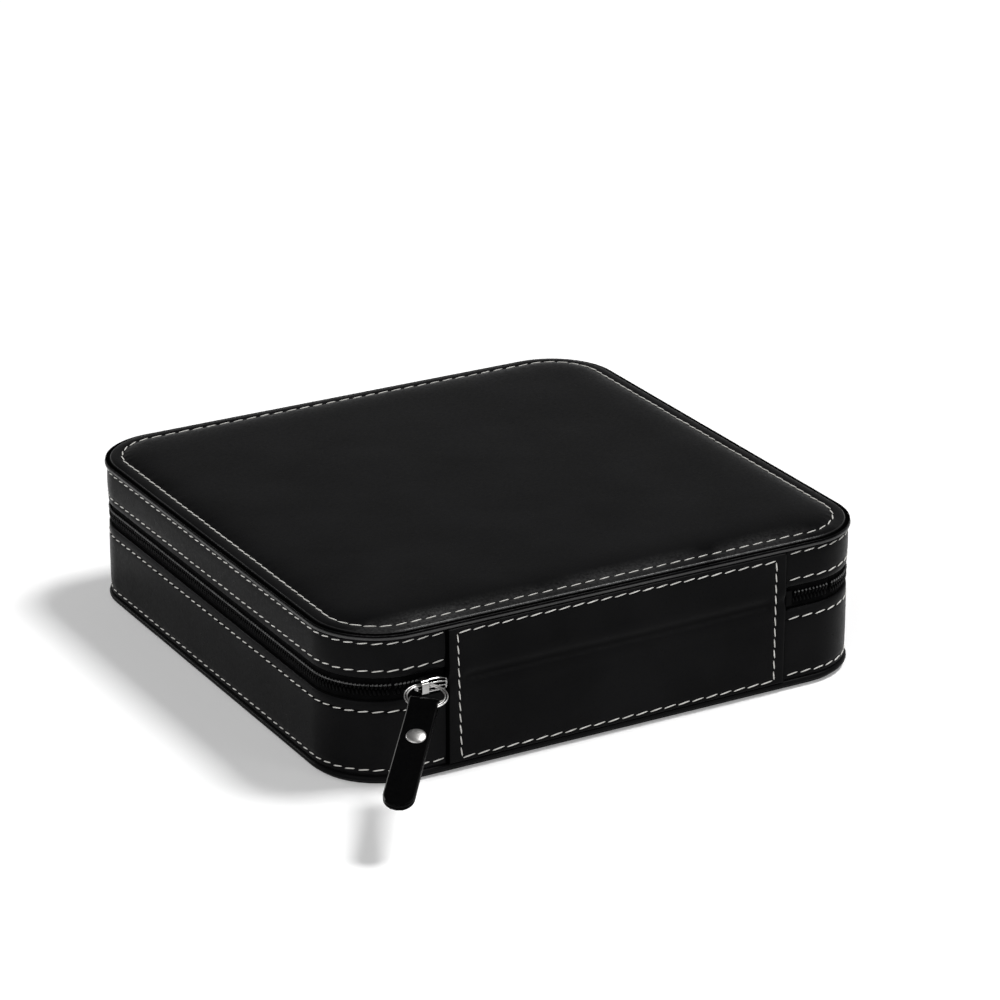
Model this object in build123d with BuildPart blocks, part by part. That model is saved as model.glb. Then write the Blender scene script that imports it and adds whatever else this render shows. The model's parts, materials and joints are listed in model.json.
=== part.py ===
"""Zip-round travel case for six watches, closed, with its lid hinged along the front side.

Units are millimetres. The origin is the centre of the bottom face, +Z is up, +X runs along
the hinge and -Y faces the hinge side, where the zip's two ends meet the leather hinge panel.
"""

from build123d import *
from math import atan2, cos, degrees, radians, sin
import os

# Outside of the case
case_width = 180.0
case_depth = 178.0
corner_radius = 22.0
base_height = 26.0
zip_window_height = 7.2
lid_side_height = 11.6

# Wall layers, from the outside in
side_inset = 0.7
leather_thickness = 1.0
leather_edge_round = 0.4
zip_tape_thickness = 0.5
wall_board_thickness = 2.6
lining_thickness = 0.5
zip_tape_overlap = 9.0
board_setback = 0.4

# Bottom
bottom_inset = 1.5
bottom_leather_thickness = 1.0
bottom_edge_round = 0.25
floor_board_thickness = 2.8
piping_diameter = 1.9
piping_sides = 12

# Lid top
lid_piping_diameter = 1.5
top_board_thickness = 2.4
top_edge_thickness = 0.6
top_edge_inset = 0.15
top_edge_slope = 0.35
top_leather_thickness = 0.9
top_border_width = 5.5
top_border_rise = 0.5
pad_shoulder_width = 3.5
pad_shoulder_rise = 0.7
pad_crown_width = 12.0
pad_crown_rise = 0.7
pad_crown_corner_share = 0.1
lid_pad_thickness = 2.0
lid_pad_edge = 4.0

# Hinge panel, which leaves a straight stretch for the slider before the corner
slider_room = 10.5
panel_thickness = 1.1
panel_edge_bevel = 0.33
crease_gap = 0.3
hinge_lining_margin = 9.5
hinge_lining_overlap = 9.0
hinge_lining_thickness = 0.4

# Zip chain
tooth_pitch = 2.9
tooth_width = 1.0
tooth_reach = 0.8
tooth_step = 0.1
chain_half_height = 2.4
chain_thickness = 1.0
chain_past_corner = 6.0
chain_under_slider = 3.2
part_gap = 0.3
end_stop_length = 2.0
end_stop_wall = 0.4

# Slider
slider_gap = 0.1
slider_length = 10.6
slider_rear_height = 5.0
slider_height = 6.4
slider_rear_length = 3.4
slider_corner = 1.4
wing_thickness = 1.0
wing_edge_round = 0.3
wing_clearance = 0.35
back_wing_height = 6.0
slider_post_length = 3.0
slider_post_height = 1.8
slider_post_corner = 0.7
slider_flange = 0.5
slider_flange_depth = 0.9
slider_crest_height = 3.2
slider_crest_depth = 0.8
slider_crest_corner = 0.9
slider_crest_gap = 0.6
slider_crest_end = 1.2

# Slider bridge, the small arch that carries the pull ring
bridge_offset = 3.2
bridge_lift = 0.6
bridge_length = 2.2
bridge_height = 4.6
bridge_window_height = 3.1
bridge_window_depth = 2.25
bridge_wall = 0.65
bridge_corner = 1.3

# Pull ring
ring_radius = 5.75
ring_wire_radius = 0.5
ring_wire_sides = 8
ring_lift = 0.5
ring_turn = 19.5
ring_drop = 9.5

# Pull tab
tab_turn = 17.6
tab_drop = 19.0
tab_length = 42.0
tab_leaf_thickness = 1.05
tab_fold_leather = 0.7
tab_fold_room = 1.05
tab_fold_rise = 2.95
tab_fold_width = 8.4
tab_end_width = 10.8
rivet_distance = 12.9
rivet_cap_diameter = 6.3
rivet_cap_height = 1.0
rivet_shank_diameter = 2.4

# Inside
divider_thickness = 2.0
divider_height = 22.0
columns = 3
rows = 2
joint_clearance = 0.1
pillow_gap = 1.2
pillow_height = 23.0
pillow_corner = 9.0
pillow_levels = ((0.0, 2.5), (0.2, 0.4), (0.6, 0.0), (0.86, 2.2), (1.0, 8.0))

# Heights worked out from the sizes above
zip_centre_z = base_height + zip_window_height / 2
lid_bottom_z = base_height + zip_window_height
lid_side_top_z = lid_bottom_z + lid_side_height
floor_top_z = bottom_leather_thickness + floor_board_thickness
base_board_top_z = base_height - board_setback
lid_board_bottom_z = lid_bottom_z + board_setback
top_board_top_z = lid_side_top_z + lid_piping_diameter * 2 / 3
top_board_bottom_z = top_board_top_z - top_board_thickness
top_edge_z = lid_side_top_z + lid_piping_diameter
floor_lining_top_z = floor_top_z + lining_thickness

# Insets of the layers from the outline
tape_inset = side_inset + leather_thickness
board_inset = tape_inset + zip_tape_thickness
lining_inset = board_inset + wall_board_thickness
inside_inset = lining_inset + lining_thickness
front_y = -case_depth / 2
panel_face_y = front_y + side_inset - panel_thickness
front_zone = corner_radius / 2

# Places along the front wall
corner_x = case_width / 2 - corner_radius
half_panel = corner_x - slider_room
panel_width = 2 * half_panel
slider_centre_x = -(half_panel + slider_gap + slider_length / 2)
bridge_x = slider_centre_x - bridge_offset
bridge_z = zip_centre_z + bridge_lift
chain_end_x = corner_x + chain_past_corner
chain_left_stop_x = chain_under_slider - slider_centre_x
chain_clear_x = chain_end_x + part_gap


def rounded_outline(inset, mode=Mode.ADD):
    """Draw the case's rounded rectangle, drawn in by an inset, in the sketch at hand."""
    RectangleRounded(case_width - 2 * inset, case_depth - 2 * inset, corner_radius - inset, mode=mode)


def add_band(outer_inset, inner_inset, low_z, high_z, mode=Mode.ADD):
    """Add a closed wall that follows the case's outline between two insets."""
    with BuildSketch(Plane.XY.offset(low_z)) as ring:
        rounded_outline(outer_inset)
        rounded_outline(inner_inset, mode=Mode.SUBTRACT)
    extrude(ring.sketch, amount=high_z - low_z, mode=mode)


def add_sheet(inset, low_z, high_z, mode=Mode.ADD):
    """Add a flat plate with the case's outline."""
    with BuildSketch(Plane.XY.offset(low_z)) as plate:
        rounded_outline(inset)
    extrude(plate.sketch, amount=high_z - low_z, mode=mode)


def add_piping(centre_z, diameter, tail_inset):
    """Add a round piping bead on the outline with the flat tail that is sewn in behind it."""
    bead_inset = diameter / 2
    with BuildSketch(Plane.XY.offset(centre_z)) as loop:
        rounded_outline(bead_inset)
    path = loop.sketch.faces()[0].outer_wire()
    start = path @ 0
    with BuildSketch(Plane(origin=start, z_dir=path % 0)) as bead:
        RegularPolygon(diameter / 2, piping_sides)
    sweep(bead.sketch, path=path)
    add_band(bead_inset, tail_inset, centre_z - diameter / 6, centre_z + diameter / 6)


def front_box(low_x, high_x, low_z, high_z, mode):
    """Add, cut or keep a block across the front wall between two X and two Z values."""
    with BuildSketch(Plane.XY.offset(low_z)) as block:
        with Locations(((low_x + high_x) / 2, front_y)):
            Rectangle(high_x - low_x, 2 * front_zone)
    extrude(block.sketch, amount=high_z - low_z, mode=mode)


def write_part(name, builder):
    """Label a finished piece and write its file."""
    builder.part.label = name
    export_step(builder.part, f"parts/{name}.step")


os.makedirs("parts", exist_ok=True)

# Base shell
with BuildPart() as bottom_leather:
    add_sheet(bottom_inset, 0, bottom_leather_thickness)
    fillet(bottom_leather.faces().sort_by(Axis.Z)[0].edges(), bottom_edge_round)
write_part("bottom_leather", bottom_leather)

bottom_bead_z = bottom_leather_thickness + piping_diameter / 2
with BuildPart() as bottom_piping:
    add_piping(bottom_bead_z, piping_diameter, board_inset)
write_part("bottom_piping", bottom_piping)

base_leather_bottom_z = bottom_leather_thickness + piping_diameter
tape_bottom_z = base_height - zip_tape_overlap
with BuildPart() as base_side_leather:
    add_band(side_inset, board_inset, base_leather_bottom_z, tape_bottom_z)
    add_band(side_inset, tape_inset, tape_bottom_z, base_height)
    base_rim = base_side_leather.faces().sort_by(Axis.Z)[-1].outer_wire().edges()
    fillet(base_rim, leather_edge_round)
write_part("base_side_leather", base_side_leather)

with BuildPart() as base_floor_board:
    add_sheet(board_inset, bottom_leather_thickness, floor_top_z)
write_part("base_floor_board", base_floor_board)

with BuildPart() as base_wall_frame:
    add_band(board_inset, lining_inset, floor_top_z, base_board_top_z)
write_part("base_wall_frame", base_wall_frame)

with BuildPart() as base_floor_lining:
    add_sheet(lining_inset, floor_top_z, floor_lining_top_z)
write_part("base_floor_lining", base_floor_lining)

with BuildPart() as base_wall_lining:
    add_band(lining_inset, inside_inset, floor_lining_top_z, base_height)
    add_band(board_inset, lining_inset, base_board_top_z, base_height)
write_part("base_wall_lining", base_wall_lining)

# Lid shell
tape_top_z = lid_bottom_z + zip_tape_overlap
with BuildPart() as lid_side_leather:
    add_band(side_inset, board_inset, tape_top_z, lid_side_top_z)
    add_band(side_inset, tape_inset, lid_bottom_z, tape_top_z)
    lid_rim = lid_side_leather.faces().sort_by(Axis.Z)[0].outer_wire().edges()
    fillet(lid_rim, leather_edge_round)
write_part("lid_side_leather", lid_side_leather)

lid_bead_z = lid_side_top_z + lid_piping_diameter / 2
with BuildPart() as lid_piping:
    add_piping(lid_bead_z, lid_piping_diameter, board_inset)
write_part("lid_piping", lid_piping)

with BuildPart() as lid_top_board:
    add_sheet(board_inset, top_board_bottom_z, top_board_top_z)
write_part("lid_top_board", lid_top_board)

with BuildPart() as lid_wall_frame:
    add_band(board_inset, lining_inset, lid_board_bottom_z, top_board_bottom_z)
write_part("lid_wall_frame", lid_wall_frame)

with BuildPart() as lid_wall_lining:
    add_band(lining_inset, inside_inset, lid_bottom_z, top_board_bottom_z)
    add_band(board_inset, lining_inset, lid_bottom_z, lid_board_bottom_z)
write_part("lid_wall_lining", lid_wall_lining)

# Padded lining inside the lid: a flat back with a crowned face
pad_low_z = top_board_bottom_z - lid_pad_thickness
with BuildPart() as lid_lining_pad:
    with BuildSketch(Plane.XY.offset(top_board_bottom_z)):
        rounded_outline(inside_inset + joint_clearance)
    with BuildSketch(Plane.XY.offset(top_board_bottom_z - lid_pad_thickness / 2)):
        rounded_outline(inside_inset + joint_clearance)
    with BuildSketch(Plane.XY.offset(pad_low_z)):
        rounded_outline(inside_inset + lid_pad_edge)
    loft(ruled=True)
write_part("lid_lining_pad", lid_lining_pad)

# Padded top: heights of the outer skin at four insets, with the foam one leather below
border_z = top_edge_z + top_edge_thickness + top_border_rise
shoulder_z = border_z + pad_shoulder_rise
crown_z = shoulder_z + pad_crown_rise
shoulder_inset = top_border_width + pad_shoulder_width
crown_inset = shoulder_inset + pad_crown_width



def add_pad_step(low_inset, low_z, high_inset, high_z):
    """Add one sloping step of the padded top between two insets."""
    outlines = []
    for inset, height in ((low_inset, low_z), (high_inset, high_z)):
        corner = corner_radius - inset
        if inset == crown_inset:
            corner = corner_radius * pad_crown_corner_share
        with BuildSketch(Plane.XY.offset(height)) as outline:
            RectangleRounded(case_width - 2 * inset, case_depth - 2 * inset, corner)
        outlines.append(outline.sketch)
    loft(sections=outlines, ruled=True)


foam_border_z = border_z - top_leather_thickness
foam_shoulder_z = shoulder_z - top_leather_thickness
foam_crown_z = crown_z - top_leather_thickness
with BuildPart() as lid_foam_pad:
    add_sheet(board_inset, top_board_top_z, top_edge_z)
    add_pad_step(board_inset, top_edge_z, top_border_width, foam_border_z)
    add_pad_step(top_border_width, foam_border_z, shoulder_inset, foam_shoulder_z)
    add_pad_step(shoulder_inset, foam_shoulder_z, crown_inset, foam_crown_z)
write_part("lid_foam_pad", lid_foam_pad)

edge_mid_z = top_edge_z + top_edge_thickness / 2
edge_high_z = top_edge_z + top_edge_thickness
edge_high_inset = top_edge_inset + top_edge_slope
with BuildPart() as lid_top_leather:
    add_sheet(top_edge_inset, top_edge_z, edge_mid_z)
    add_pad_step(top_edge_inset, edge_mid_z, edge_high_inset, edge_high_z)
    add_pad_step(edge_high_inset, edge_high_z, top_border_width, border_z)
    add_pad_step(top_border_width, border_z, shoulder_inset, shoulder_z)
    add_pad_step(shoulder_inset, shoulder_z, crown_inset, crown_z)
    add(lid_foam_pad.part, mode=Mode.SUBTRACT)
write_part("lid_top_leather", lid_top_leather)

# Hinge panel in two halves that meet at the fold, and the lining strip behind it
panel_top_z = lid_side_top_z
panel_side_y = front_y + side_inset


def add_front_plate(width, low_z, high_z, outer_y, inner_y):
    """Add a flat strip on the front wall."""
    with BuildSketch(Plane.XZ.offset(-inner_y)) as strip:
        with Locations((0, (low_z + high_z) / 2)):
            Rectangle(width, high_z - low_z)
    extrude(strip.sketch, amount=inner_y - outer_y)


with BuildPart() as hinge_panel_lower:
    add_front_plate(panel_width, base_leather_bottom_z, zip_centre_z - crease_gap / 2, panel_face_y,
                    panel_side_y)
    side_edges = hinge_panel_lower.edges().filter_by(Axis.Z).group_by(Axis.Y)[0]
    chamfer(side_edges, panel_edge_bevel)
write_part("hinge_panel_lower", hinge_panel_lower)

with BuildPart() as hinge_panel_upper:
    add_front_plate(panel_width, zip_centre_z + crease_gap / 2, panel_top_z, panel_face_y, panel_side_y)
    side_edges = hinge_panel_upper.edges().filter_by(Axis.Z).group_by(Axis.Y)[0]
    chamfer(side_edges, panel_edge_bevel)
write_part("hinge_panel_upper", hinge_panel_upper)

lining_y = front_y + inside_inset
hinge_lining_width = panel_width - 2 * hinge_lining_margin
with BuildPart() as hinge_lining_lower:
    strip_low_z = base_height - hinge_lining_overlap
    add_front_plate(hinge_lining_width, strip_low_z, zip_centre_z - crease_gap / 2, lining_y,
                    lining_y + hinge_lining_thickness)
write_part("hinge_lining_lower", hinge_lining_lower)

with BuildPart() as hinge_lining_upper:
    strip_high_z = lid_bottom_z + hinge_lining_overlap / 2
    add_front_plate(hinge_lining_width, zip_centre_z + crease_gap / 2, strip_high_z, lining_y,
                    lining_y + hinge_lining_thickness)
write_part("hinge_lining_upper", hinge_lining_upper)

# Zip tapes: the lower one goes all round to the hinge panel, the upper one stops at the corners
tape_low_top_z = zip_centre_z - part_gap
tape_high_bottom_z = zip_centre_z + part_gap
slider_gap_half = slider_post_height / 2 + part_gap
slider_gap_x = chain_left_stop_x
with BuildPart() as zip_tape_lower:
    add_band(tape_inset, board_inset, tape_bottom_z, tape_low_top_z)
    front_box(-half_panel, half_panel, base_height, tape_low_top_z, Mode.SUBTRACT)
    front_box(-slider_gap_x, -half_panel, zip_centre_z - slider_gap_half, tape_low_top_z, Mode.SUBTRACT)
write_part("zip_tape_lower", zip_tape_lower)

with BuildPart() as zip_tape_upper:
    add_band(tape_inset, board_inset, tape_high_bottom_z, tape_top_z)
    front_box(-chain_clear_x, chain_clear_x, tape_high_bottom_z, lid_bottom_z, Mode.SUBTRACT)
write_part("zip_tape_upper", zip_tape_upper)

# Short upper tape ends beside the hinge panel, which stay with the base
tape_end_top_z = lid_bottom_z - part_gap
with BuildPart() as zip_tape_end_left:
    add_band(tape_inset, board_inset, tape_low_top_z, tape_end_top_z)
    front_box(-chain_end_x, -half_panel, tape_low_top_z, tape_end_top_z, Mode.INTERSECT)
    front_box(-slider_gap_x, -half_panel, tape_low_top_z, zip_centre_z + slider_gap_half, Mode.SUBTRACT)
write_part("zip_tape_end_left", zip_tape_end_left)

with BuildPart() as zip_tape_end_right:
    add_band(tape_inset, board_inset, tape_low_top_z, tape_end_top_z)
    front_box(half_panel, chain_end_x, tape_low_top_z, tape_end_top_z, Mode.INTERSECT)
write_part("zip_tape_end_right", zip_tape_end_right)

# Zip teeth: two combs that mesh with half a pitch between them
chain_inset = tape_inset - chain_thickness
chain_outline = RectangleRounded(
    case_width - 2 * (chain_inset + chain_thickness / 2),
    case_depth - 2 * (chain_inset + chain_thickness / 2),
    corner_radius - chain_inset - chain_thickness / 2,
    mode=Mode.PRIVATE,
).faces()[0].outer_wire()
tooth_count = round(chain_outline.length / tooth_pitch)


def in_main_run(x, y):
    """Say whether a place on the outline is on the long run of the zip round the case."""
    return y > front_y + front_zone or abs(x) > chain_end_x + part_gap + tooth_width


def in_left_end(x, y):
    """Say whether a place is on the short closed chain left of the hinge panel."""
    return y < front_y + front_zone and -chain_end_x + tooth_width < x < -chain_left_stop_x - tooth_width


def in_right_end(x, y):
    """Say whether a place is on the short closed chain right of the hinge panel."""
    first_x = half_panel + end_stop_length + tooth_width
    return y < front_y + front_zone and first_x < x < chain_end_x - tooth_width


def add_teeth(low_z, high_z, shift, wanted):
    """Add one row of teeth along the outline, where the wanted function says so."""
    places = []
    for index in range(tooth_count):
        share = (index + shift) / tooth_count
        place = chain_outline @ share
        run = chain_outline % share
        if wanted(place.X, place.Y):
            places.append(Location((place.X, place.Y, 0), (0, 0, degrees(atan2(run.Y, run.X)))))
    with BuildSketch(Plane.XY.offset(low_z)) as feet:
        with Locations(*places):
            Rectangle(tooth_width, chain_thickness)
    extrude(feet.sketch, amount=high_z - low_z)


def add_lower_comb(wanted):
    """Add the lower row of teeth, which reaches past the middle of the chain."""
    add_teeth(zip_centre_z - tooth_reach, zip_centre_z + tooth_reach - tooth_step, 0, wanted)


def add_upper_comb(wanted):
    """Add the upper row of teeth, half a pitch along from the lower one."""
    add_teeth(zip_centre_z - tooth_reach + tooth_step, zip_centre_z + tooth_reach, 0.5, wanted)


with BuildPart() as zip_teeth_lower:
    add_band(chain_inset, tape_inset, zip_centre_z - chain_half_height, zip_centre_z - tooth_reach)
    front_box(-chain_clear_x, chain_clear_x, base_height, lid_bottom_z, Mode.SUBTRACT)
    add_lower_comb(in_main_run)
write_part("zip_teeth_lower", zip_teeth_lower)

with BuildPart() as zip_teeth_upper:
    add_band(chain_inset, tape_inset, zip_centre_z + tooth_reach, zip_centre_z + chain_half_height)
    front_box(-chain_clear_x, chain_clear_x, base_height, lid_bottom_z, Mode.SUBTRACT)
    add_upper_comb(in_main_run)
write_part("zip_teeth_upper", zip_teeth_upper)

with BuildPart() as zip_chain_end_left:
    add_band(chain_inset, tape_inset, zip_centre_z - chain_half_height, zip_centre_z - tooth_reach)
    add_band(chain_inset, tape_inset, zip_centre_z + tooth_reach, zip_centre_z + chain_half_height)
    front_box(-chain_end_x, -chain_left_stop_x, base_height, lid_bottom_z, Mode.INTERSECT)
    add_lower_comb(in_left_end)
    add_upper_comb(in_left_end)
write_part("zip_chain_end_left", zip_chain_end_left)

stop_x = half_panel + joint_clearance
with BuildPart() as zip_chain_end_right:
    add_band(chain_inset, tape_inset, zip_centre_z - chain_half_height, zip_centre_z - tooth_reach)
    add_band(chain_inset, tape_inset, zip_centre_z + tooth_reach, zip_centre_z + chain_half_height)
    front_box(stop_x + end_stop_length, chain_end_x, base_height, lid_bottom_z, Mode.INTERSECT)
    add_lower_comb(in_right_end)
    add_upper_comb(in_right_end)
write_part("zip_chain_end_right", zip_chain_end_right)

with BuildPart() as zip_end_stop:
    add_band(chain_inset - end_stop_wall / 2, tape_inset, zip_centre_z - chain_half_height,
             zip_centre_z + chain_half_height)
    front_box(stop_x, stop_x + end_stop_length, base_height, lid_bottom_z, Mode.INTERSECT)
write_part("zip_end_stop", zip_end_stop)

# Slider: a front and a back wing, joined by a post between the two rows of teeth
wing_inner_y = front_y + chain_inset - wing_clearance
wing_front_y = wing_inner_y - wing_thickness
back_wing_y = front_y + board_inset + zip_tape_thickness
slider_left_x = slider_centre_x - slider_length / 2
slider_right_x = slider_centre_x + slider_length / 2


def add_wing(height, rear_height, near_y, far_y):
    """Add one wing of the slider, narrow at the rear and with rounded corners."""
    with BuildSketch(Plane.XZ.offset(-far_y)) as wing:
        with BuildLine():
            Polyline(
                (slider_left_x, zip_centre_z - rear_height / 2),
                (slider_left_x + slider_rear_length, zip_centre_z - height / 2),
                (slider_right_x, zip_centre_z - height / 2),
                (slider_right_x, zip_centre_z + height / 2),
                (slider_left_x + slider_rear_length, zip_centre_z + height / 2),
                (slider_left_x, zip_centre_z + rear_height / 2),
                close=True,
            )
        make_face()
        fillet(wing.vertices(), slider_corner)
    extrude(wing.sketch, amount=far_y - near_y)


with BuildPart() as slider_body:
    add_wing(slider_height, slider_rear_height, wing_front_y, wing_inner_y)
    fillet(slider_body.faces().sort_by(Axis.Y)[0].edges(), wing_edge_round)
    add_wing(back_wing_height, slider_rear_height, back_wing_y, back_wing_y + wing_thickness)
    post_x = slider_right_x - slider_post_length / 2 - slider_corner
    with BuildSketch(Plane.XZ.offset(-back_wing_y)) as post:
        with Locations((post_x, zip_centre_z)):
            Rectangle(slider_post_length, slider_post_height)
        fillet(post.vertices(), slider_post_corner)
    extrude(post.sketch, amount=back_wing_y - wing_inner_y)
    flange_z = slider_height / 2 - slider_flange / 2
    with BuildSketch(Plane.XZ.offset(-wing_inner_y)) as flanges:
        with Locations((slider_right_x - slider_length / 3, zip_centre_z + flange_z),
                       (slider_right_x - slider_length / 3, zip_centre_z - flange_z)):
            Rectangle(slider_length / 2, slider_flange)
    extrude(flanges.sketch, amount=-slider_flange_depth)
    crest_left_x = bridge_x + bridge_length / 2 + slider_crest_gap
    crest_right_x = slider_right_x - slider_crest_end
    with BuildSketch(Plane.XZ.offset(-wing_front_y)) as crest:
        with Locations(((crest_left_x + crest_right_x) / 2, zip_centre_z)):
            Rectangle(crest_right_x - crest_left_x, slider_crest_height)
        fillet(crest.vertices(), slider_crest_corner)
    extrude(crest.sketch, amount=slider_crest_depth)
write_part("slider_body", slider_body)

bridge_peak_y = wing_front_y - bridge_window_depth - bridge_wall
with BuildPart() as slider_bridge:
    with BuildSketch(Plane.YZ.offset(bridge_x - bridge_length / 2)) as arch:
        with Locations(((wing_front_y + bridge_peak_y) / 2, bridge_z)):
            Rectangle(wing_front_y - bridge_peak_y, bridge_height)
        fillet(arch.vertices().group_by(Axis.X)[0], bridge_corner)
        with Locations((wing_front_y - bridge_window_depth / 2, bridge_z)):
            Rectangle(bridge_window_depth, bridge_window_height, mode=Mode.SUBTRACT)
    extrude(amount=bridge_length)
write_part("slider_bridge", slider_bridge)

# Pull ring: its wire crosses the bridge's window, turned a little and leaning out and down
ring_axis = Vector(cos(radians(ring_turn)), -sin(radians(ring_turn)), 0)
ring_out = Vector(-sin(radians(ring_turn)), -cos(radians(ring_turn)), 0)
ring_lean = ring_out * cos(radians(ring_drop)) + Vector(0, 0, -sin(radians(ring_drop)))
ring_pivot = Vector(bridge_x, wing_front_y - bridge_window_depth / 2, bridge_z + ring_lift)
ring_centre = ring_pivot + ring_lean * ring_radius
ring_plane = Plane(origin=ring_centre, x_dir=ring_axis, z_dir=ring_axis.cross(ring_lean))
with BuildPart() as ring_form:
    with BuildSketch(Plane.XZ):
        with Locations((ring_radius, 0)):
            RegularPolygon(ring_wire_radius, ring_wire_sides)
    revolve(axis=Axis.Z)
with BuildPart() as pull_ring:
    add(ring_form.part.moved(ring_plane.location))
write_part("pull_ring", pull_ring)

# Pull tab: a leather strip folded round the ring and riveted to itself
tab_side = ring_axis * cos(radians(tab_turn)) + ring_lean * sin(radians(tab_turn))
tab_radial = ring_lean * cos(radians(tab_turn)) - ring_axis * sin(radians(tab_turn))
tab_pivot = ring_centre + tab_radial * ring_radius
flat_out = tab_side.cross(Vector(0, 0, 1)).normalized()
straight_down = tab_side.cross(flat_out).normalized()
tab_run = flat_out * cos(radians(tab_drop)) + straight_down * sin(radians(tab_drop))
tab_face = tab_run.cross(tab_side)
fold_half = tab_fold_room + tab_fold_leather
fold_turn = degrees(atan2(tab_radial.dot(tab_side.cross(tab_run)), tab_radial.dot(tab_run)))
fold_reach = (tab_fold_rise - tab_fold_room) / 2
fold_centre = (-fold_reach * cos(radians(fold_turn)), -fold_reach * sin(radians(fold_turn)), 0)

with BuildPart() as puller_strap:
    with BuildSketch(Plane(origin=tab_pivot, x_dir=tab_run, z_dir=tab_side)) as strip:
        with Locations(((tab_length - fold_half / 2) / 2 + fold_half / 4, 0)):
            Rectangle(tab_length - fold_half / 2, 2 * tab_leaf_thickness)
        with Locations(Location(fold_centre, (0, 0, fold_turn))):
            SlotOverall(tab_fold_rise + tab_fold_room + 2 * tab_fold_leather, 2 * fold_half)
            SlotOverall(tab_fold_rise + tab_fold_room, 2 * tab_fold_room, mode=Mode.SUBTRACT)
    extrude(strip.sketch, amount=tab_end_width / 2, both=True)
    with BuildSketch(Plane(origin=tab_pivot, x_dir=tab_side, z_dir=tab_face)) as plan:
        end_centre = tab_length - tab_end_width / 2
        with BuildLine():
            Polyline(
                (-tab_fold_width / 2, tab_fold_rise + tab_fold_leather),
                (tab_fold_width / 2, tab_fold_rise + tab_fold_leather),
                (tab_end_width / 2, -end_centre),
                (-tab_end_width / 2, -end_centre),
                close=True,
            )
        make_face()
        with Locations((0, -end_centre)):
            Circle(tab_end_width / 2)
    extrude(plan.sketch, amount=2 * fold_half, both=True, mode=Mode.INTERSECT)
    with Locations(Plane(origin=tab_pivot + tab_run * rivet_distance, x_dir=tab_side, z_dir=tab_face)):
        Cylinder(rivet_shank_diameter / 2, 4 * tab_leaf_thickness, mode=Mode.SUBTRACT)
write_part("puller_strap", puller_strap)

half_cap = rivet_cap_diameter / 2
half_shank = rivet_shank_diameter / 2
cap_low = tab_leaf_thickness
cap_high = tab_leaf_thickness + rivet_cap_height
dome_radius = (half_cap**2 + rivet_cap_height**2) / (2 * rivet_cap_height)
with BuildPart() as rivet_form:
    with BuildSketch(Plane.XZ):
        with BuildLine():
            Line((0, cap_high), (0, -cap_high))
            RadiusArc((0, -cap_high), (half_cap, -cap_low), -dome_radius)
            Polyline((half_cap, -cap_low), (half_shank, -cap_low), (half_shank, cap_low), (half_cap, cap_low))
            RadiusArc((half_cap, cap_low), (0, cap_high), -dome_radius)
        make_face()
    revolve(axis=Axis.Z)
rivet_plane = Plane(origin=tab_pivot + tab_run * rivet_distance, x_dir=tab_side, z_dir=tab_face)
with BuildPart() as puller_rivet:
    add(rivet_form.part.moved(rivet_plane.location))
write_part("puller_rivet", puller_rivet)

# Inside: one long divider and two cross dividers, half-lapped where they meet
inside_width = case_width - 2 * inside_inset
inside_depth = case_depth - 2 * inside_inset
divider_low_z = floor_lining_top_z
divider_high_z = divider_low_z + divider_height
cell_width = inside_width / columns
cell_depth = inside_depth / rows
cross_places = [(index + 1) * cell_width - inside_width / 2 for index in range(columns - 1)]

with BuildPart() as divider_long:
    with BuildSketch(Plane.XZ.offset(-divider_thickness / 2)) as board:
        with Locations((0, (divider_low_z + divider_high_z) / 2)):
            Rectangle(inside_width - 2 * joint_clearance, divider_height)
        with Locations([(x, divider_high_z - divider_height / 4) for x in cross_places]):
            Rectangle(divider_thickness + 2 * joint_clearance, divider_height / 2, mode=Mode.SUBTRACT)
    extrude(amount=divider_thickness)
write_part("divider_long", divider_long)

for name, x in zip(("divider_left", "divider_right"), cross_places):
    with BuildPart() as divider_cross:
        with BuildSketch(Plane.YZ.offset(x - divider_thickness / 2)) as board:
            with Locations((hinge_lining_thickness / 2, (divider_low_z + divider_high_z) / 2)):
                Rectangle(inside_depth - 2 * joint_clearance - hinge_lining_thickness, divider_height)
            with Locations((0, divider_low_z + divider_height / 4)):
                Rectangle(divider_thickness + 2 * joint_clearance, divider_height / 2, mode=Mode.SUBTRACT)
        extrude(amount=divider_thickness)
    write_part(name, divider_cross)

# Watch pillows: crowned pads with drawn-in sides, one in each cell
pillow_width = cell_width - divider_thickness - 2 * pillow_gap
pillow_depth = cell_depth - divider_thickness - 2 * pillow_gap


def pillow_section(height_share, shrink):
    """Return the outline of one level of a pillow."""
    with BuildSketch(Plane.XY.offset(divider_low_z + height_share * pillow_height)) as level:
        RectangleRounded(pillow_width - 2 * shrink, pillow_depth - 2 * shrink, pillow_corner - shrink / 2)
    return level.sketch


with BuildPart() as pillow_form:
    loft(sections=[pillow_section(share, shrink) for share, shrink in pillow_levels], ruled=True)

pillow_number = 0
for row in range(rows):
    for column in range(columns):
        pillow_number += 1
        centre_x = (column + 0.5) * cell_width - inside_width / 2
        centre_y = (row + 0.5) * cell_depth - inside_depth / 2
        with BuildPart() as watch_pillow:
            add(pillow_form.part.moved(Location((centre_x, centre_y, 0))))
        write_part(f"watch_pillow_{pillow_number}", watch_pillow)
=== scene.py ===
"""Looks of a zip-round travel case for six watches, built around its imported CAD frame.

Lengths in the dataclasses are millimetres, in the frame's own axes: +X runs along the hinge,
-Y faces the hinge panel and the zip pull, +Z is up. Meshes are made in metres.
"""

from __future__ import annotations

import json
import logging
import math
import random
from dataclasses import dataclass, field
from enum import Enum
from typing import Callable

import bmesh
import bpy
from mathutils import Matrix, Vector, noise

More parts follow.
